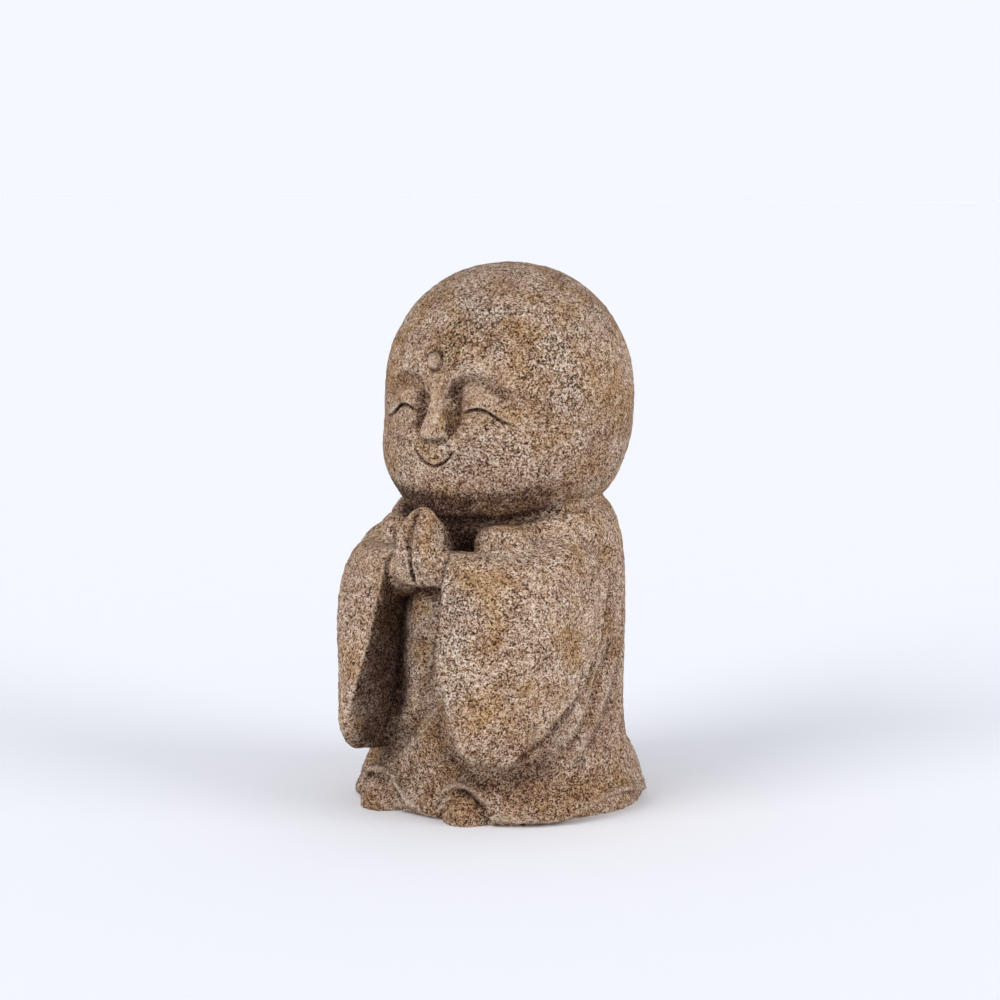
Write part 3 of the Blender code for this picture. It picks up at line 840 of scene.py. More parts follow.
@dataclass
class Toes:
    """Two rounded toe caps that look out under the raised hem."""

    places: tuple[tuple[float, float], ...] = ((-38.0, -56.6), (19.0, -55.2))
    half: Point = (13.2, 13.4, 15.6)
    height: float = 4.2

    def build(self) -> list[bpy.types.Object]:
        """Model the caps.

        Returns:
            One cap for each toe, flat on the ground.
        """
        caps = [ball((x, y, self.height), self.half) for x, y in self.places]
        for cap in caps:
            plane_off(cap, (0, 0, 0), (0, 0, -1))
        log.info("toes: %d pieces", len(caps))
        return caps


@dataclass
class Sleeves(Feature):
    """Wide hanging sleeves with a flat opening face and a worn front edge.

    Lines and places are the left sleeve's, and the right sleeve mirrors them.
    """

    # Cloth that fills the crook between the forearm and the chest, and how far round it the skin melts
    saddle: Point = (33.0, -41.5, 150.0)
    saddle_half: Point = (17.0, 14.0, 14.0)
    saddle_melt: Point = (17.0, 16.0, 15.0)
    # A hollow inside the forearm, and the heavy tip where the opening's front and bottom meet
    dabs: tuple[Dab, ...] = (Dab((38, -56, 148), (12, 12, 9), 2.0), Dab((37, -84, 47), (9, 9, 9), -4.2),
                             Dab((38, -75, 38), (9, 9, 6), -3.4))
    front_edge: Points = ((19.6, -76, 140), (21.5, -79, 126), (23.2, -82.4, 111), (25, -85.6, 96),
                          (28.6, -88, 82), (32.4, -89.2, 70), (37.5, -88, 58), (41, -84, 48),
                          (42.5, -77, 41), (41.5, -69, 36))
    inner_line: Points = ((26, -52, 124), (28, -52.5, 108), (29.5, -52, 92), (30, -52, 76), (31.5, -53, 62),
                          (34.5, -56, 49), (37.5, -60, 39))
    rear_line: Points = ((70, 8, 128), (69, 3, 110), (67, -2, 97), (69, -10.6, 88), (68.6, -17.6, 75),
                         (68, -28, 65.5), (65.5, -41, 58), (62.5, -49, 50), (58.5, -59, 45.5),
                         (52, -64, 39), (46, -65, 34))
    upper_arm: Points = ((60.8, 3, 178.5), (65, 3.4, 162), (67.5, 1, 149), (72, -7, 132.6),
                         (74.5, -14, 116), (74.8, -20, 100))
    tuck: Points = ((68, -40, 62), (62, -52, 54), (54, -62, 47), (46, -68, 42))
    # Painted shade, with brown, on the robe round the left sleeve's tip
    tip_shade: Points = ((-4, -54.4, 63.8), (2.2, -58, 49.8), (8, -60.5, 42), (14.2, -58.4, 31.6),
                      (22.3, -58.3, 27.3), (30.2, -56.2, 24.3), (36.8, -51.6, 22.7), (43.8, -47.4, 24),
                      (50.6, -42.2, 27.3), (55.2, -37.5, 31.5))
    chips: int = 26
    # The row of pits in front of the rear edge: its heights from, to and in steps, and its X and Y
    pit_heights: tuple[float, float, float] = (98.0, 124.0, 3.4)
    pit_place: tuple[float, float] = (73.5, -31.0)

    def build(self) -> list[bpy.types.Object]:
        """Model the cloth that fills the crook between each forearm and the chest.

        Returns:
            One swelling for each arm.
        """
        return [ball(mirror * self.saddle, self.saddle_half) for mirror in mirrors()]

    def carve(self, work: Chisel) -> None:
        """Sharpen the edges, sink the lines where sleeve meets robe, and shape the forearms.

        Args:
            work: the body.
        """
        for mirror in mirrors():
            gap = (work.co - mirror * np.array(self.saddle)) / self.saddle_melt
            work.relax(60, ease(np.linalg.norm(gap, axis=1), 1.25, 0.75))
            work.press(self.dabs, mirror)
            work.stroke(mirror * self.front_edge, 1.3, -1.5, taper=0.08)
            work.stroke(mirror * self.inner_line, 1.5, 2.0, taper=0.1)
            work.fold(mirror * self.rear_line, 2.8, 2.7 * mirror[0], taper=0.1)
            work.stroke(mirror * self.rear_line, 1.6, 0.6, taper=0.15)
            work.fold(mirror * self.upper_arm, 3.6, 1.1 * mirror[0], taper=0.3)
            work.stroke(mirror * self.tuck, 1.8, 1.6, taper=0.3)
            self.chip(work, mirror)

    def chip(self, work: Chisel, mirror: np.ndarray) -> None:
        """Break small bits out of the rear edge, and pit the cloth just in front of it.

        Args:
            work: the body.
            mirror: turns the left side's points into this side's.
        """
        rng = np.random.default_rng(11)
        line = np.array(self.rear_line)
        for _ in range(self.chips):
            k, share = rng.integers(0, len(line) - 1), rng.random()
            spot = line[k] * (1 - share) + line[k + 1] * share + rng.normal(0.0, 1.6, 3)
            size = rng.uniform(0.9, 2.2)
            work.press([Dab(work.land([mirror * spot])[0], (size, size, size * 0.8), rng.uniform(0.5, 1.3))])
        pit_x, pit_y = self.pit_place
        for z in np.arange(*self.pit_heights):
            spot = mirror * (pit_x, pit_y + rng.normal(0.0, 2.2), z + rng.normal(0.0, 0.8))
            size = rng.uniform(0.9, 1.7)
            work.press([Dab(work.land([spot])[0], (size, size, size), rng.uniform(0.8, 1.4))])

    def shadows(self) -> list[Mark]:
        """Painted shade and brown: inside the opening, along the robe and under the rear edge.

        Returns:
            The lines.
        """
        marks = [Mark(self.tip_shade, 5.5, 0.55)]
        for mirror in mirrors():
            marks += [Mark(mirror * self.inner_line, 1.6, 0.9),
                      Mark(mirror * shifted(self.inner_line, -0.5, -13.0, 0.0), 11.0, 0.6),
                      Mark(mirror * shifted(self.rear_line[3:], 0.0, 3.5, -2.5), 2.8, 0.7),
                      Mark(mirror * shifted(self.rear_line[:4], 0.0, 3.5, 0.0), 3.0, 0.35)]
        return marks

    def edges(self) -> list[Mark]:
        """Worn edges with painted highlight: the front of each opening and the rear edge.

        Returns:
            The lines.
        """
        rear = shifted(self.rear_line, 0.0, -3.0, 2.0)
        return [mark for mirror in mirrors()
                for mark in (Mark(mirror * self.front_edge, 1.6, 0.35), Mark(mirror * rear, 2.2, 0.35))]


@dataclass
class Robe(Feature):
    """Long robe: its neck recess, lapel, front folds and the drape behind each sleeve."""

    neck_depth: float = 1.0
    # How far the crease under the chin is drawn down, by the angle from the front
    throat_drop: Profile = Profile(((0, 6), (30, 6), (55, 4.4), (75, 1.6), (95, 0), (180, 0)))
    # Swellings of the chest, of the robe below it and of the right shoulder
    dabs: tuple[Dab, ...] = (Dab((-8, -52, 117), (13, 14, 17), -6.5), Dab((-18, -52, 92), (8, 12, 26), -4.5),
                             Dab((-50, -38, 161.5), (9, 9, 8), -3.6))
    # A nick in the cloth behind each sleeve, and the lip over it
    nick: tuple[Dab, ...] = (Dab((70, -24, 56.5), (3.2, 3.2, 1.6), 1.6),
                             Dab((71, -24, 60), (3.5, 3.5, 1.8), -1.0))
    lapel: Points = ((2, -52, 128), (-4, -52.6, 120), (-8, -53.5, 112.6), (-13, -54, 105), (-19, -53, 98),
                     (-25, -52, 90))
    valley: Points = ((-3, -54.5, 94), (-5.2, -54.5, 81.5), (-8.5, -55.3, 64), (-16, -56.3, 50),
                      (-25, -56.3, 38), (-34, -57, 29))
    centre_fold: Points = ((12, -56, 62), (8.6, -58.1, 46), (2, -61, 30), (-4, -64, 15))
    drapes: tuple[Points, ...] = (
        ((68, 8, 96), (67, -2, 79), (65.8, -10, 60), (63.8, -21, 46), (57, -35, 34)),
        ((66, 18, 82), (65.5, 8, 62), (65.8, -4, 46), (63, -20, 32)),
        ((66, 40, 120), (71, 32, 90), (74, 22, 62), (78, 10, 34)))
    drape_heights: tuple[float, ...] = (1.9, 1.2, 0.8)
    # Long valleys down the back: how far from the middle each starts, and how deep it is
    back: tuple[tuple[float, float], ...] = ((-41.0, 1.9), (-17.0, 1.4), (9.0, 1.8), (36.0, 1.5))
    back_ridge: float = 7.0

    def back_valley(self, start: float) -> Points:
        """The path of one valley down the back, spreading a little toward the hem.

        Args:
            start: how far from the middle it starts.

        Returns:
            Its points.
        """
        return tuple((start * (1.0 + 0.3 * k), 74.0 + 4.0 * k, 138.0 - 31.0 * k) for k in range(5))

    def carve(self, work: Chisel) -> None:
        """Cut the neck and the folds.

        Args:
            work: the body.
        """
        self.even_out(work)
        self.undercut_neck(work)
        work.press(self.dabs)
        work.fold(self.lapel, 2.4, -0.9, taper=0.3)
        work.stroke(self.valley, 2.6, 2.6, taper=0.25)
        work.stroke(shifted(self.valley, -8.0, 0.0, 5.0), 4.5, -1.8, taper=0.3)
        work.stroke(self.centre_fold, 4.5, -1.6)
        for start, depth in self.back:
            valley = self.back_valley(start)
            work.stroke(valley, 4.4, depth, taper=0.3)
            work.stroke(shifted(valley, self.back_ridge, 0.0, 0.0), 4.0, -0.6 * depth, taper=0.3)
        for mirror in mirrors():
            for drape, height in zip(self.drapes, self.drape_heights):
                work.fold(mirror * drape, 3.6, height * mirror[0], taper=0.3)
            work.press(self.nick, mirror)

    def shadows(self) -> list[Mark]:
        """Painted shade and brown: beside the lapel and in the valleys of the folds.

        Returns:
            The lines.
        """
        marks = [Mark(self.valley, 3.0, 0.5), Mark(shifted(self.lapel, -2.0, 0.0, 2.0), 2.0, 0.4)]
        marks += [Mark(self.back_valley(start), 3.6, 0.3) for start, _ in self.back]
        return marks + [Mark(mirror * shifted(drape, 0.0, 3.0, -2.0), 2.6, 0.45)
                        for mirror in mirrors() for drape in self.drapes[:2]]

    def edges(self) -> list[Mark]:
        """Worn edges with painted highlight: the lapel and the tops of the folds.

        Returns:
            The lines.
        """
        marks = [Mark(shifted(self.back_valley(start), self.back_ridge, 0.0, 0.0), 3.0, 0.3)
                 for start, _ in self.back]
        marks += [Mark(shifted(self.lapel, 2.0, 0.0, -2.0), 2.0, 0.5),
                  Mark(shifted(self.valley, 8.0, 0.0, 1.0), 3.0, 0.4)]
        return marks + [Mark(mirror * shifted(drape, 0.0, -2.0, 1.6), 1.8, 0.4)
                        for mirror in mirrors() for drape in self.drapes[:2]]

    def even_out(self, work: Chisel) -> None:
        """Melt the kinks under the chin and above the hem, and draw the crease under the chin down.

        Args:
            work: the body.
        """
        x, y, z = work.co.T
        turn = np.degrees(np.arctan2(np.abs(x), -y))
        chin = band(z, 166.0, 171.0, 188.0, 194.0) * ease(turn, 110.0, 80.0) * (np.hypot(x, y) < 70.0)
        chin *= ease(np.hypot(np.abs(x) - 6.0, y + 64.0), 12.0, 18.0)
        hem = band(z, 22.0, 28.0, 46.0, 56.0) * ease(turn, 78.0, 92.0)
        work.relax(50, np.maximum(chin, hem))
        x, y, z = work.co.T
        radius = np.hypot(x, y)
        throat = np.exp(-(((z - 174.5) / 8.0) ** 2)) * ease(radius, 66.0, 61.0) * (radius > 30.0)
        throat *= ease(x, -44.0, -22.0)
        work.co[:, 2] -= self.throat_drop.at(turn) * throat
        work.refresh()

    def undercut_neck(self, work: Chisel) -> None:
        """Deepen the narrow place between head and shoulders, most of all under the chin.

        Args:
            work: the body.
        """
        x, y, z = work.co.T
        turn = np.degrees(np.arctan2(x, -y))
        radius = np.hypot(x, y)
        # The neck's narrowest points, every 10 degrees round from the back
        marks = []
        for middle in np.arange(-180.0, 190.0, 10.0):
            gap = np.abs((turn - middle + 180.0) % 360.0 - 180.0)
            ring = np.where((gap < 3.0) & (z > 160.0) & (z < 190.0) & (radius > 38.0))[0]
            lowest = ring[np.argsort(radius[ring])[:12]]
            marks.append(tuple(work.co[lowest].mean(0)))
        work.stroke(marks, 3.0, 0.7, taper=0.0)
        # From 80 degrees on one side of the front to 80 on the other
        front = marks[10:27]
        work.stroke(front, 2.6, self.neck_depth, taper=0.25)
        work.stroke(shifted(front, 0.0, 0.0, 5.0), 4.0, 1.6, taper=0.25)


@dataclass
class Hem(Feature):
    """Flared hem: the rim over each toe and the wavy lip above the base band."""

    arches: tuple[Points, ...] = (
        ((-60, -51, 8), (-56, -52.5, 13), (-47, -58, 19.5), (-38, -62.5, 21.8), (-31, -63.5, 20.6),
         (-25.5, -63, 16.5), (-21.5, -63, 11.5), (-15.8, -63.6, 7.6), (-9, -64.6, 5.6)),
        ((5.5, -62.6, 11.5), (9.5, -64, 17), (14.5, -65, 20.8), (20.5, -65.4, 22.4), (27, -64, 21),
         (32, -61.5, 16.5), (35.5, -59.5, 10)))
    lip: Points = ((39.4, -58, 5), (54.5, -46.8, 3.6), (66.1, -31, 4), (71.5, -20.5, 7), (74.6, -12.4, 11),
                   (76.6, -4, 13.2), (78, 9, 13.4), (76, 30, 9), (67, 49, 5.4))
    # How far below each rim its groove lies
    under_arch: float = 3.2
    under_lip: float = 3.6

    def carve(self, work: Chisel) -> None:
        """Raise the rims and the lip over a groove each.

        Args:
            work: the body.
        """
        for arch in self.arches:
            work.stroke(arch, 2.2, -1.8, taper=0.12)
            work.stroke(shifted(arch, 0.0, 0.0, -self.under_arch), 1.2, 1.1, taper=0.2)
        work.stroke(self.lip, 1.9, -2.2, taper=0.1)
        work.stroke(shifted(self.lip, 0.0, 0.0, -self.under_lip), 1.6, 1.2, taper=0.1)

    def shadows(self) -> list[Mark]:
        """Painted shade and brown: between each toe and its arch, and below the lip."""
        marks = [Mark(shifted(arch, 0.0, 0.0, -self.under_arch), 1.3, 0.8) for arch in self.arches]
        return marks + [Mark(shifted(self.lip, 0.0, 0.0, -3.2), 2.0, 0.45)]

    def edges(self) -> list[Mark]:
        """Worn edges with painted highlight: the arches' rims and the lip."""
        return [Mark(arch, 2.0, 0.9) for arch in self.arches] + [Mark(self.lip, 1.9, 0.9)]


@dataclass(frozen=True)
class PatinaAndPaintedLight:
    """Where the brown and painted shade stayed, where edges are painted paler as worn and lit, and where the
    skin is paler or coarser than the rest.
    """

    # How far away a wall still counts as close, and the shelter at which the painted shade, with brown,
    # starts and is full
    reach: float = 40.0
    sheltered: tuple[float, float] = (0.2, 0.68)
    # How many ways are tried, each turned from the last by the golden angle
    rays: int = 16
    golden_angle: float = 2.39996
    # Height of the crease under the chin by the angle from the front
    throat: Profile = Profile(((0, 162), (20, 162.8), (40, 164.4), (60, 167.4), (80, 171.2), (180, 174)))
    # Places and half sizes of the paler patches: (x, y, z, size, strength)
    pale: tuple[tuple[float, ...], ...] = (
        (14, -45, 271, 9, 0.7), (7, -53, 255, 8, 0.8), (33, -44, 258, 7, 0.6), (24, -41, 271, 10, 0.7),
        (54, -24, 258, 9, 0.7), (57, -9, 265, 8, 0.6), (54, -32, 245, 9, 0.5), (62, -21, 237, 9, 0.5),
        (49, -38, 240, 8, 0.4), (28, -54, 208, 10, 0.3), (23, -57, 200, 9, 0.25), (38, -50, 203, 8, 0.2),
        (30, -80, 126, 12, 0.4), (38, -83, 106, 13, 0.4), (36, -88, 85, 13, 0.4), (48, -78, 117, 12, 0.3))
    # Places inside the hollows painted lighter where they look forward, as lit, with painted shade and brown
    # taken out: the robe's front, the toe caps and the left arm's crook
    lightened: tuple[tuple[float, ...], ...] = (
        (-4, -60, 116, 13, 0.9), (-15, -58, 104, 13, 0.9), (-16, -57, 86, 12, 0.8), (-8, -56, 70, 12, 0.7),
        (-38, -68, 8, 9, 1), (19, -67, 8, 9, 1), (29, -60, 14, 7, 0.8), (32, -47, 163, 14, 0.9))

    def paint(self, work: Chisel, parts: list[Feature]) -> None:
        """Store the zones on the points.

        Args:
            work: the body.
            parts: the features, which know where their own shadows and edges lie.
        """
        x, y, z = work.co.T
        # Narrow and broad creases by their bend, in 1/mm: they are painted darker, as shade
        fold, broad = work.bend(3), work.bend(14)
        crease = np.maximum(ease(fold, 0.03, 0.2), 0.8 * ease(broad, 0.015, 0.09))
        # Painted shade, with brown, along the parts' shadow lines, under the chin and inside the sleeve
        # openings
        dark = self.lines(work, [mark for part in parts for mark in part.shadows()])
        dark = np.maximum(dark, np.maximum(self.throat_wash_and_shade(work), self.opening_wash_and_shade(work)))
        # Painted shade and brown are taken out of the listed places where they look forward, so that they
        # read as lit
        shade_kept = 1.0 - self.spots(work, self.lightened) * ease(work.normal[:, 1], -0.1, -0.5)
        # Painted shade, with brown, in hollows that close walls shelter
        hollow = ease(self.shelter(work), *self.sheltered) * shade_kept
        unpainted = (1.0 - self.dust_and_crown_shade(work)) * (1.0 - hollow) * (1.0 - 0.7 * crease)
        # The stored darkening is brown wash and painted shade together
        work.paint("wash_and_shade", 1.0 - unpainted * (1.0 - dark * (0.4 + 0.6 * shade_kept)))
        # Paler edges and rims: wear, and painted highlight where light catches them
        rims = self.lines(work, [mark for part in parts for mark in part.edges()])
        worn_and_lit = np.maximum(ease(-fold, 0.04, 0.25) * 0.8, rims)
        work.paint("wear_and_highlight", worn_and_lit * (1.0 - hollow) * (1.0 - dark))
        work.paint("pale", self.spots(work, self.pale))
        eyes = band(z, 203.0, 212.0, 240.0, 248.0) * ease(np.abs(x), 46.0, 36.0) * ease(y, -30.0, -42.0)
        work.paint("fine", eyes)
        behind = ease(y, -18.0, 2.0) * ease(z, 168.0, 140.0)
        work.paint("coarse", np.maximum(ease(z, 60.0, 34.0), behind))

    def throat_wash_and_shade(self, work: Chisel) -> np.ndarray:
        """Painted shade, with brown, on the chin's underside above its crease, fading round the sides of the
        neck.

        Args:
            work: the body.

        Returns:
            The strength at each point.
        """
        x, y, z = work.co.T
        turn = np.degrees(np.arctan2(np.abs(x), -y))
        above = z - self.throat.at(turn)
        round_sides = ease(turn, 125.0, 95.0) * (0.25 + 0.75 * ease(turn, 84.0, 42.0))
        # Only faces that look down take it, as shade
        under_chin = ease(np.hypot(x, y), 67.0, 62.0) * ease(work.normal[:, 2], 0.4, 0.1)
        return band(above, -2.5, 1.0, 13.0, 21.0) * under_chin * round_sides

    def opening_wash_and_shade(self, work: Chisel) -> np.ndarray:
        """Painted shade, with brown, inside the sleeve openings, on the faces that look toward the figure's
        middle.

        Args:
            work: the body.

        Returns:
            The strength at each point.
        """
        x, y, z = work.co.T
        # Faces turned toward the middle are darkened, as shade
        inward = ease(-np.sign(x) * work.normal[:, 0], 0.55, 0.85)
        place = band(np.abs(x), 16.5, 19.0, 40.0, 44.0) * band(z, 40.0, 78.0, 144.0, 152.0)
        return 0.8 * inward * place * ease(y, -48.0, -56.0)

    def dust_and_crown_shade(self, work: Chisel) -> np.ndarray:
        """Painted shade, with thin brown, over the crown where it looks up, and thin brown on the cheeks and
        the robe's foot.

        Args:
            work: the body.

        Returns:
            The strength at each point.
        """
        x, y, z = work.co.T
        # The crown is darker the more it looks up: painted shade on the lit top
        crown = 0.13 * ease(work.normal[:, 2], 0.1, 0.8) * ease(z, 225.0, 250.0)
        cheeks = 0.16 * band(z, 178.0, 188.0, 222.0, 238.0) * ease(np.abs(x), 8.0, 22.0)
        foot = 0.16 * ease(z, 66.0, 30.0) * ease(y, -10.0, -35.0)
        return np.maximum(crown, np.maximum(cheeks, foot))

    def lines(self, work: Chisel, marks: list[Mark]) -> np.ndarray:
        """Soft stains along lines.

        Args:
            work: the body.
            marks: the lines.

        Returns:
            The strength at each point.
        """
        total = np.zeros(len(work.co))
        for mark in marks:
            gap, _, _ = work.distance(work.land(mark.points))
            total = np.maximum(total, mark.strength * np.exp(-((gap / mark.width) ** 2)))
        return total

    def spots(self, work: Chisel, places: tuple[tuple[float, ...], ...]) -> np.ndarray:
        """Soft round patches.

        Args:
            work: the body.
            places: the middle, the half size and the strength of each.

        Returns:
            The strength at each point.
        """
        total = np.zeros(len(work.co))
        for x, y, z, size, strength in places:
            gap = np.linalg.norm(work.co - np.array((x, y, z)), axis=1)
            total = np.maximum(total, strength * np.exp(-((gap / size) ** 2)))
        return total

    def shelter(self, work: Chisel) -> np.ndarray:
        """How much of the open air close walls hide from each point.

        Args:
            work: the body.

        Returns:
            From 0 in the open to 1 at the bottom of a hole.
        """
        faces = read(work.mesh.polygons, "vertices", 3, int)
        tree = BVHTree.FromPolygons(work.co.tolist(), faces.tolist(), all_triangles=True)
        steps = np.arange(self.rays) + 0.5
        up = 1.0 - steps / self.rays
        turn = steps * self.golden_angle
        spread = np.sqrt(1.0 - up**2)
        fan = np.stack([spread * np.cos(turn), spread * np.sin(turn), up], 1)
        # Any direction that no normal of the body follows gives each point two axes across its skin
        side = np.cross(work.normal, np.array([0.31, 0.52, 0.79]))
        side /= np.linalg.norm(side, axis=1)[:, None]
        other = np.cross(work.normal, side)
        shut = np.zeros(len(work.co))
        start = (work.co + work.normal * 0.4).tolist()
        for across, along, out in fan:
            aim = (side * across + other * along + work.normal * out).tolist()
            hits = [tree.ray_cast(p, d, self.reach)[3] is not None for p, d in zip(start, aim)]
            shut += np.array(hits) * out
        shut = shut[:, None] / fan[:, 2].sum()
        for _ in range(3):
            shut = work.averaged(shut)
        return shut[:, 0]


@dataclass
class Casting:
    """The whole statue as one cast body."""

    head: Head = field(default_factory=Head)
    hands: Hands = field(default_factory=Hands)
    toes: Toes = field(default_factory=Toes)
    sleeves: Sleeves = field(default_factory=Sleeves)
    robe: Robe = field(default_factory=Robe)
    hem: Hem = field(default_factory=Hem)
    # Size of the grain that the body is grown in
    voxel: float = 0.85
    # Faces kept on the body, and on the face and the hands, which are kept finer
    body_faces: int = 142000
    fine_faces: int = 54000
    face: Zone = Zone(46.0, -26.0, 188.0, 256.0)
    pressed_hands: Zone = Zone(15.0, -46.0, 126.0, 175.0)
    # The solid's own plain hands: where they are, and what they shrink toward and by
    plain_hands: Zone = Zone(11.5, -48.0, 133.0, 174.0)
    shrink_to: Point = (0.0, -66.0, 149.0)
    shrink_by: Point = (0.5, 0.86, 0.88)
    # Cast lumps: how many to a millimetre, how high on the plain skin, and what each zone adds
    lump_rate: float = 0.26
    lump: float = 0.34
    face_lump: float = -0.24
    hand_lump: float = -0.2
    robe_lump: float = 0.2

    def build(self) -> bpy.types.Object:
        """Grow the body, cut it, weather it, thin it and paint its zones.

        Returns:
            The statue.
        """
        statue = self.block_out()
        work = Chisel(statue)
        work.smooth(5)
        self.refine_face(statue, work)
        work = Chisel(statue)
        parts = [self.head, self.hands, self.sleeves, self.robe, self.hem]
        for part in parts:
            part.carve(work)
            log.info("carved %s", type(part).__name__)
        self.weather(work)
        self.thin(statue)
        work = Chisel(statue)
        work.smooth(1, 0.5)
        self.stand(statue)
        PatinaAndPaintedLight().paint(work, parts)
        activate(statue)
        bpy.ops.object.shade_smooth()
        log.info("statue: %d triangles", len(statue.data.polygons))
        return statue

    def block_out(self) -> bpy.types.Object:
        """Join the solid's masses and the finer parts into one closed body.

        Returns:
            The body.
        """
        body = bpy.data.objects.new("statue_stone", frame["nodes"][NODE].data.copy())
        bpy.context.scene.collection.objects.link(body)
        body.data.materials.clear()
        open_up(body)
        bpy.ops.mesh.remove_doubles(threshold=1e-5)
        bpy.ops.object.mode_set(mode="OBJECT")
        work = Chisel(body)
        hands = self.plain_hands.holds(work.co)
        middle = np.array(self.shrink_to)
        work.co[hands] = middle + (work.co[hands] - middle) * np.array(self.shrink_by)
        work.refresh()
        parts = self.hands.build() + self.toes.build() + self.sleeves.build()
        activate(body)
        for part in parts:
            part.select_set(True)
        bpy.ops.object.join()
        apply_modifier(body, "REMESH", mode="VOXEL", voxel_size=self.voxel * MM)
        log.info("body: %d faces", len(body.data.polygons))
        return body

    def refine_face(self, statue: bpy.types.Object, work: Chisel) -> None:
        """Split the faces of the face's front once, for its fine lines.

        Args:
            statue: the body.
            work: its points.
        """
        activate(statue)
        mesh = statue.data
        for items in (mesh.polygons, mesh.edges):
            items.foreach_set("select", np.zeros(len(items), bool))
        mesh.vertices.foreach_set("select", self.face.holds(work.co))
        bpy.ops.object.mode_set(mode="EDIT")
        bpy.ops.mesh.select_mode(type="VERT")
        bpy.ops.mesh.subdivide(number_cuts=1, smoothness=0.0)
        bpy.ops.object.mode_set(mode="OBJECT")

    def thin(self, statue: bpy.types.Object) -> None:
        """Thin the body to its finished faces, in two zones so that face and hands stay finest.

        Args:
            statue: the body.
        """
        apply_modifier(statue, "TRIANGULATE")
        for fine, faces in ((False, self.body_faces), (True, self.fine_faces)):
            co = Chisel(statue).co
            zone = (self.face.holds(co) | self.pressed_hands.holds(co)) == fine
            corners = read(statue.data.polygons, "vertices", 3, int)
            own = int(zone[corners].all(1).sum())
            group = statue.vertex_groups.new(name="thinning")
            group.add(np.where(zone)[0].tolist(), 1.0, "REPLACE")
            total = len(statue.data.polygons)
            apply_modifier(statue, "DECIMATE", ratio=(total - own + faces) / total, vertex_group="thinning")
            statue.vertex_groups.clear()

    def weather(self, work: Chisel) -> None:
        """Roughen the skin: finest on the face, coarser on the robe and the hem.

        Args:
            work: the body.
        """
        x, y, z = work.co.T
        lift = np.array([noise.fractal(Vector(p) * self.lump_rate, 0.7, 2.1, 2) for p in work.co])
        face = ease(y, -30.0, -44.0) * ease(z, 188.0, 194.0) * ease(z, 246.0, 240.0)
        robe = ease(z, 182.0, 168.0) * 0.5 + ease(z, 70.0, 40.0) * 0.5
        hand = ease(np.hypot(x, y + 66.0), 26.0, 20.0) * ease(z, 122.0, 128.0) * ease(z, 180.0, 174.0)
        height = self.lump + self.face_lump * face + self.hand_lump * hand + self.robe_lump * robe
        work.co += work.normal * (height * lift)[:, None]
        work.refresh()

    def stand(self, statue: bpy.types.Object) -> None:
        """Keep the statue's foot flat on the ground.

        Args:
            statue: the body.
        """
        co = read(statue.data.vertices, "co", 3)
        co[:, 2] = np.maximum(co[:, 2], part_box(NODE)[0][2])
        statue.data.vertices.foreach_set("co", co.ravel())
        statue.data.update()


def linear(code: str) -> tuple[float, float, float, float]:
    """Turn an sRGB hex colour to linear light.

    Args:
        code: six hex digits.

    Returns:
        Red, green, blue and alpha.
    """
    parts = [int(code[k:k + 2], 16) / 255 for k in (0, 2, 4)]
    return tuple(c / 12.92 if c <= 0.04045 else ((c + 0.055) / 1.055) ** 2.4 for c in parts) + (1.0,)


def add_node(tree: bpy.types.NodeTree, kind: str, links: dict[str | int, object] | None = None,
             **settings: object) -> bpy.types.Node:
    """Add a node with its settings, socket values and incoming links.

    Args:
        tree: the material's nodes.
        kind: Blender's node type.
        links: input name or number to a value or to another node's output.
        settings: the node's own properties.

    Returns:
        The node.
    """
    node = tree.nodes.new(kind)
    for name, value in settings.items():
        setattr(node, name, value)
    for name, value in (links or {}).items():
        socket = node.inputs[name]
        if isinstance(value, bpy.types.NodeSocket):
            tree.links.new(value, socket)
        else:
            socket.default_value = value
    return node


def set_ramp(ramp: bpy.types.Node, stops: Sequence[tuple[float, str]]) -> None:
    """Give a colour ramp its stops.

    Args:
        ramp: the node, with its first two stops.
        stops: place and hex colour of each.
    """
    for _ in stops[2:]:
        ramp.color_ramp.elements.new(0.5)
    for stop, (at, code) in zip(ramp.color_ramp.elements, stops):
        stop.position = at
        stop.color = linear(code)


class Blend(Enum):
    """How one colour is laid over another."""

    OVER = "MIX"
    STAIN = "MULTIPLY"


@dataclass(frozen=True)
class Spread:
    """A noise pattern: its size in millimetres, the two levels it is cut between, and its shape."""

    size: float
    low: float
    high: float
    detail: float = 2.0
    rough: float = 0.6
    stretch: float = 1.0
    shift: float = 0.0


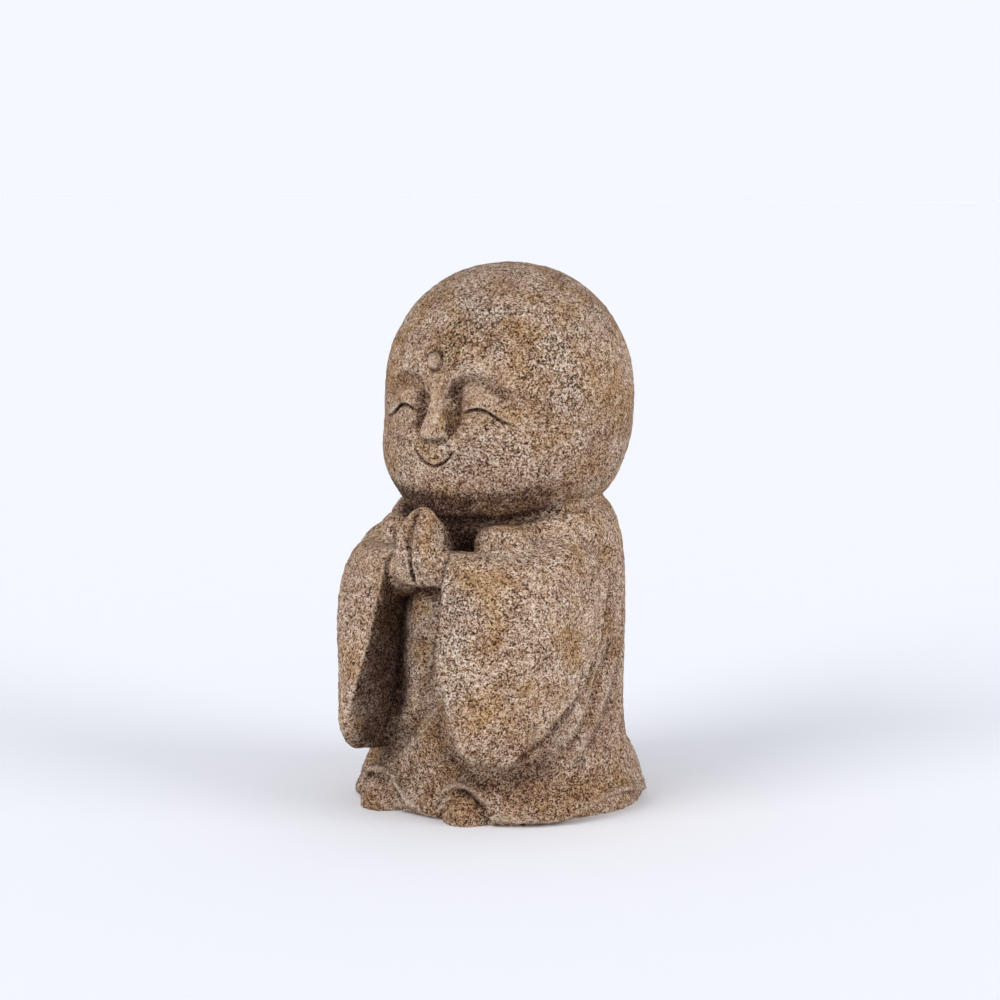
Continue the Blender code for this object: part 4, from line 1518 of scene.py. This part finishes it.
@dataclass(frozen=True)
class Ground:
    """What every layer of a finish grows from: the nodes, the place in mm and the painted zones."""

    tree: bpy.types.NodeTree
    mm: bpy.types.NodeSocket
    zone: dict[str, bpy.types.NodeSocket]
    # How far a drawn-out pattern leans, in radians, and how much every pattern's edges curl
    lean: Point = (0.5, 0.35, 0.0)
    curl: float = 0.25

    def pattern(self, spread: Spread) -> bpy.types.NodeSocket:
        """A noise mask, from 0 at the spread's low level to 1 at its high one.

        Args:
            spread: the pattern.

        Returns:
            The mask.
        """
        lean = self.lean if spread.stretch != 1.0 else (0.0, 0.0, 0.0)
        moved = add_node(self.tree, "ShaderNodeMapping", {
            "Vector": self.mm, "Location": (spread.shift, 0.0, -spread.shift), "Rotation": lean,
            "Scale": (1.0, 1.0, spread.stretch)}).outputs[0]
        value = add_node(self.tree, "ShaderNodeTexNoise", {
            "Vector": moved, "Scale": 1.0 / spread.size, "Detail": spread.detail,
            "Roughness": spread.rough, "Distortion": self.curl}).outputs[0]
        return add_node(self.tree, "ShaderNodeMapRange", {
            "Value": value, "From Min": spread.low, "From Max": spread.high}).outputs[0]

    def product(self, first: bpy.types.NodeSocket, second: object) -> bpy.types.NodeSocket:
        """One value times another."""
        return add_node(self.tree, "ShaderNodeMath", {0: first, 1: second}, operation="MULTIPLY").outputs[0]

    def total(self, first: bpy.types.NodeSocket, share: object, second: object,
              other: float = 1.0) -> bpy.types.NodeSocket:
        """Weighted sum of two values.

        Args:
            first: a value.
            share: its weight.
            second: another value, or a number.
            other: its weight.

        Returns:
            first * share + second * other.
        """
        rest = second if other == 1.0 else self.product(second, other)
        return add_node(self.tree, "ShaderNodeMath", {0: first, 1: share, 2: rest},
                        operation="MULTIPLY_ADD").outputs[0]

    def lay(self, under: bpy.types.NodeSocket, mask: bpy.types.NodeSocket, over: str,
            blend: Blend = Blend.OVER) -> bpy.types.NodeSocket:
        """Lay a colour over another through a mask.

        Args:
            under: the colour below.
            mask: where the new colour shows.
            over: the new colour's hex.
            blend: how it is laid.

        Returns:
            The mixed colour.
        """
        return add_node(self.tree, "ShaderNodeMixRGB", {"Fac": mask, "Color1": under, "Color2": linear(over)},
                        blend_type=blend.value).outputs[0]


@dataclass(frozen=True)
class CastStone:
    """Stone mix rammed half dry into a mould, washed with brown and wiped back.

    The wiped crust gives pale crumbs over brown hollows with black pores in them, the sand
    gives each crumb its own tan, pink or ochre, and the brown stays where no rag reached, with painted
    shade added to it in hollows, creases and under overhangs, and worn edges painted paler as highlights.
    """

    # Sand of the mix: its coarsest grit, because anything finer than 0.7 mm doesn't show
    grain_mm: float = 0.7
    # How far the grains' edges wander from straight, in mm
    grain_wander: float = 1.2
    # Crumbs of 2.6 mm that break up into the grit, pores of 1 mm, and 3.1 mm nests of them
    crust: Spread = Spread(2.6, 0.0, 1.0, 4.0, 0.92, shift=3.0)
    speck: Spread = Spread(1.0, 0.44, 0.36, shift=13.0)
    cluster: Spread = Spread(3.1, 0.5, 0.4, 3.0, 0.7, shift=37.0)
    # Drag marks of the mould, 1.9 mm wide and three times as long, where the skin is coarse
    drags: Spread = Spread(1.9, 0.48, 0.62, 3.0, 0.7, 0.3, shift=43.0)
    # Patches of 15 mm where the mix was rammed less and is rougher
    crowd: Spread = Spread(15.0, 0.34, 0.66, shift=31.0)
    # Stains of the damp mix, with their strength and colour: broad ochre and pinkish ones, and brown
    # ones of 7 mm
    stains: tuple[tuple[Spread, float, str], ...] = (
        (Spread(26.0, 0.47, 0.64, 3.0, shift=5.0), 0.75, "e4cfa4"),
        (Spread(24.0, 0.5, 0.66, 3.0, shift=57.0), 0.5, "d8c6c0"),
        (Spread(7.0, 0.5, 0.64, 3.0, shift=23.0), 0.45, "b59782"))
    # Rust spots of 4.6 mm from iron in the sand
    rust: Spread = Spread(4.6, 0.66, 0.76, 3.0, shift=71.0)
    rust_share: float = 0.5
    rust_red: str = "b9703f"
    # Grains that are pink or ochre: which of a grain's numbers says so, and the colour; then the levels
    # of that number at which the colour starts and is full, and how strong it gets
    odd_grains: tuple[tuple[int, str], ...] = ((1, "c99c8c"), (2, "c4a470"))
    odd_levels: tuple[float, float] = (0.72, 0.92)
    odd_share: float = 0.3
    # The coarse skin is browner, and worn edges with painted highlight and pale places are paler: how much,
    # and the colour
    coarse_share: float = 0.12
    brown: str = "b59782"
    wear_and_highlight_share: float = 0.3
    pale_share: float = 0.03
    wiped: str = "dccdbd"
    # What makes the crust's height: each grain's own share, less the pores and nests, less its middle
    grain_share: float = 0.42
    pore_share: float = 0.16
    nest_share: float = 0.06
    crust_middle: float = 0.71
    # How rough the crust is beside 1 on plain stone: in rougher patches, in paler places, on the face
    crowd_swing: float = 0.4
    pale_swing: float = 1.4
    fine_swing: float = -0.25
    # The tone of the crust's middle, and what worn edges with painted highlight and drag marks add to it
    middle_tone: float = 0.545
    wear_and_highlight_tone: float = 0.1
    drag_tone: float = -0.07
    # Colours of the crust from the bottom of a pore to the top of a crumb
    ramp: tuple[tuple[float, str], ...] = (
        (0.24, "2a160a"), (0.34, "5b3a23"), (0.43, "916d50"), (0.5, "b09275"), (0.57, "c5ab92"),
        (0.68, "d8c5b2"), (0.86, "ece0d3"))
    # The brown with its painted shade lies fullest in the pores: its strength is the tone's share and a start
    wash_and_shade: str = "69452d"
    wash_and_shade_by_tone: tuple[float, float] = (-0.9, 1.45)
    # Height of the crumbs in mm, and how much of it shows
    relief_mm: float = 0.9
    relief_share: float = 0.9
    # Roughness at the tones of a hollow and of a rubbed crumb, and the low gloss of bare stone
    rough_tones: tuple[float, float] = (0.3, 0.8)
    roughness: tuple[float, float] = (0.97, 0.8)
    gloss: float = 0.25

    def build(self) -> bpy.types.Material:
        """Make the material.

        Returns:
            The material.
        """
        material = bpy.data.materials.new("cast stone, rammed half dry, washed and wiped")
        material.use_nodes = True
        tree = material.node_tree
        shader = tree.nodes["Principled BSDF"]
        place = add_node(tree, "ShaderNodeTexCoord").outputs["Object"]
        mm = add_node(tree, "ShaderNodeMapping", {"Vector": place, "Scale": (1000, 1000, 1000)}).outputs[0]
        zone = {name: add_node(tree, "ShaderNodeAttribute", attribute_name=name).outputs["Fac"]
                for name in ("wash_and_shade", "wear_and_highlight", "pale", "fine", "coarse")}
        ground = Ground(tree, mm, zone)
        sand = self.sand(ground)
        tone = self.tone(ground, sand.outputs[0])
        colour = self.tint(ground, self.colour(ground, tone, sand))
        # Brown and painted shade, fullest in the pores
        left = ground.product(ground.total(tone, *self.wash_and_shade_by_tone), zone["wash_and_shade"])
        tree.links.new(ground.lay(colour, left, self.wash_and_shade, Blend.STAIN), shader.inputs["Base Color"])
        bump = add_node(tree, "ShaderNodeBump", {"Height": tone, "Distance": self.relief_mm * MM,
                                                 "Strength": self.relief_share})
        tree.links.new(bump.outputs[0], shader.inputs["Normal"])
        rough = add_node(tree, "ShaderNodeMapRange", {
            "Value": tone, "From Min": self.rough_tones[0], "From Max": self.rough_tones[1],
            "To Min": self.roughness[0], "To Max": self.roughness[1]})
        tree.links.new(rough.outputs[0], shader.inputs["Roughness"])
        shader.inputs["Specular IOR Level"].default_value = self.gloss
        return material

    def sand(self, ground: Ground) -> bpy.types.Node:
        """Sand grains, each with three numbers of its own.

        Args:
            ground: what the finish grows from.

        Returns:
            The node with the three numbers.
        """
        waves = add_node(ground.tree, "ShaderNodeTexNoise", {"Vector": ground.mm,
                                                             "Scale": 1.0 / (2 * self.grain_mm)})
        bent = add_node(ground.tree, "ShaderNodeVectorMath", {
            0: waves.outputs["Color"], 1: (self.grain_wander,) * 3, 2: ground.mm}, operation="MULTIPLY_ADD")
        cells = add_node(ground.tree, "ShaderNodeTexVoronoi", {"Vector": bent.outputs[0],
                                                               "Scale": 1.0 / self.grain_mm})
        return add_node(ground.tree, "ShaderNodeSeparateColor", {"Color": cells.outputs["Color"]})

    def tone(self, ground: Ground, grain: bpy.types.NodeSocket) -> bpy.types.NodeSocket:
        """Height of the wiped crust, which is its tone as well: crumbs high, pores low.

        Args:
            ground: what the finish grows from.
            grain: a number for each grain.

        Returns:
            The tone, about 0.5 in the middle.
        """
        total, zone = ground.total, ground.zone
        swing = total(ground.pattern(self.crowd), self.crowd_swing, zone["pale"], self.pale_swing)
        swing = total(swing, 1.0, total(zone["fine"], self.fine_swing, 1.0))
        crust = total(ground.pattern(self.crust), 1.0, grain, self.grain_share)
        pores = total(ground.pattern(self.cluster), self.nest_share, ground.pattern(self.speck),
                      self.pore_share)
        rough = total(crust, 1.0, total(pores, -1.0, -self.crust_middle))
        drags = ground.product(ground.pattern(self.drags), zone["coarse"])
        lift = total(total(zone["wear_and_highlight"], self.wear_and_highlight_tone, drags, self.drag_tone), 1.0, self.middle_tone)
        return total(rough, swing, lift)

    def colour(self, ground: Ground, tone: bpy.types.NodeSocket,
               sand: bpy.types.Node) -> bpy.types.NodeSocket:
        """Colour of the crust: its tone, and a touch of pink or ochre in some grains.

        Args:
            ground: what the finish grows from.
            tone: the crust's tone.
            sand: the node with each grain's numbers.

        Returns:
            The colour.
        """
        ramp = add_node(ground.tree, "ShaderNodeValToRGB", {"Fac": tone})
        set_ramp(ramp, self.ramp)
        colour = ramp.outputs[0]
        for number, code in self.odd_grains:
            share = add_node(ground.tree, "ShaderNodeMapRange", {
                "Value": sand.outputs[number], "From Min": self.odd_levels[0],
                "From Max": self.odd_levels[1], "To Max": self.odd_share}).outputs[0]
            colour = ground.lay(colour, share, code)
        return colour

    def tint(self, ground: Ground, colour: bpy.types.NodeSocket) -> bpy.types.NodeSocket:
        """Lay the stains of the damp mix, the wiped edges and the rust.

        Args:
            ground: what the finish grows from.
            colour: the crust's colour.

        Returns:
            The tinted colour.
        """
        zone = ground.zone
        for spread, share, code in self.stains:
            colour = ground.lay(colour, ground.product(ground.pattern(spread), share), code, Blend.STAIN)
        coarse = ground.product(zone["coarse"], self.coarse_share)
        colour = ground.lay(colour, coarse, self.brown, Blend.STAIN)
        # Worn edges with painted highlight, and pale places, are laid paler
        lightened = ground.total(zone["wear_and_highlight"], self.wear_and_highlight_share, zone["pale"], self.pale_share)
        colour = ground.lay(colour, lightened, self.wiped)
        rust = ground.product(ground.pattern(self.rust), self.rust_share)
        return ground.lay(colour, rust, self.rust_red)


def direction(turn: float, rise: float) -> Vector:
    """The way from the statue to something round it.

    Args:
        turn: degrees from the front toward the figure's left.
        rise: degrees above the level.

    Returns:
        The way, one long.
    """
    side, up = math.radians(turn), math.radians(rise)
    return Vector((math.sin(side) * math.cos(up), -math.cos(side) * math.cos(up), math.sin(up)))


@dataclass
class Studio:
    """Pale floor, soft lights and the camera."""

    # The camera: degrees round from the front and above the level, its lens and sensor in mm, and how
    # far it is from the point of the axis that it looks at, in metres
    yaw: float = 37.0
    pitch: float = 7.8
    lens: float = 85.0
    sensor: float = 36.0
    distance: float = 1.313
    aim_height: float = 0.1682
    floor_size: float = 60.0
    paint: str = "fcfcff"
    # The studio air: bright haze at the horizon, darker overhead so that hollows keep their shade
    air: tuple[tuple[float, str], ...] = ((0.13, "f5f8ff"), (1.0, "a0a4ad"))
    # Each lamp: name, power, turn from the camera's own direction and rise, in degrees
    lamps: tuple[tuple[str, float, float, float], ...] = (("key", 1.52, -50.0, 28.0),
                                                          ("fill", 1.5, 62.0, 18.0))
    lamp_spread: float = 36.0
    lamp_distance: float = 2.0

    def build(self) -> None:
        """Set up the floor, the air, the lights and the camera."""
        self.floor()
        self.surroundings()
        self.lights()
        self.camera()

    def floor(self) -> None:
        """A wide floor in matt white paint, which shows only the statue's soft shade."""
        deselect()
        bpy.ops.mesh.primitive_plane_add(size=self.floor_size)
        floor = bpy.context.object
        floor.name = "studio_floor"
        material = bpy.data.materials.new("matt studio floor, painted")
        material.use_nodes = True
        shader = material.node_tree.nodes["Principled BSDF"]
        shader.inputs["Base Color"].default_value = linear(self.paint)
        shader.inputs["Roughness"].default_value = 0.9
        shader.inputs["Specular IOR Level"].default_value = 0.0
        floor.data.materials.append(material)

    def surroundings(self) -> None:
        """Evenly bright air that darkens only overhead."""
        world = bpy.data.worlds.new("studio air")
        world.use_nodes = True
        tree = world.node_tree
        way = add_node(tree, "ShaderNodeTexCoord").outputs["Generated"]
        height = add_node(tree, "ShaderNodeSeparateXYZ", {"Vector": way}).outputs["Z"]
        ramp = add_node(tree, "ShaderNodeValToRGB", {"Fac": height})
        set_ramp(ramp, self.air)
        tree.links.new(ramp.outputs[0], tree.nodes["Background"].inputs["Color"])
        bpy.context.scene.world = world
        bpy.context.scene.view_settings.view_transform = "Standard"

    def lights(self) -> None:
        """A broad key from the camera's left and a fill from its right."""
        for name, power, turn, rise in self.lamps:
            lamp = bpy.data.lights.new(name, "SUN")
            lamp.energy = power
            lamp.angle = math.radians(self.lamp_spread)
            holder = bpy.data.objects.new(name, lamp)
            bpy.context.scene.collection.objects.link(holder)
            toward = direction(self.yaw + turn, rise)
            holder.location = toward * self.lamp_distance
            holder.rotation_euler = toward.to_track_quat("Z", "Y").to_euler()

    def camera(self) -> None:
        """Place the camera, looking at the middle of the statue."""
        data = bpy.data.cameras.new("camera")
        data.lens = self.lens
        data.sensor_width = self.sensor
        camera = bpy.data.objects.new("camera", data)
        bpy.context.scene.collection.objects.link(camera)
        back = direction(self.yaw, self.pitch)
        camera.location = AXIS + Vector((0.0, 0.0, self.aim_height)) + back * self.distance
        camera.rotation_euler = back.to_track_quat("Z", "Y").to_euler()
        bpy.context.scene.camera = camera


def main() -> None:
    """Build the statue, dress it and set up the studio."""
    logging.basicConfig(level=logging.INFO, format="%(relativeCreated)d %(message)s")
    statue = Casting().build()
    statue.data.materials.append(CastStone().build())
    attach(statue, BODY)
    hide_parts(NODE)
    Studio().build()


if __name__ == "__main__":
    main()
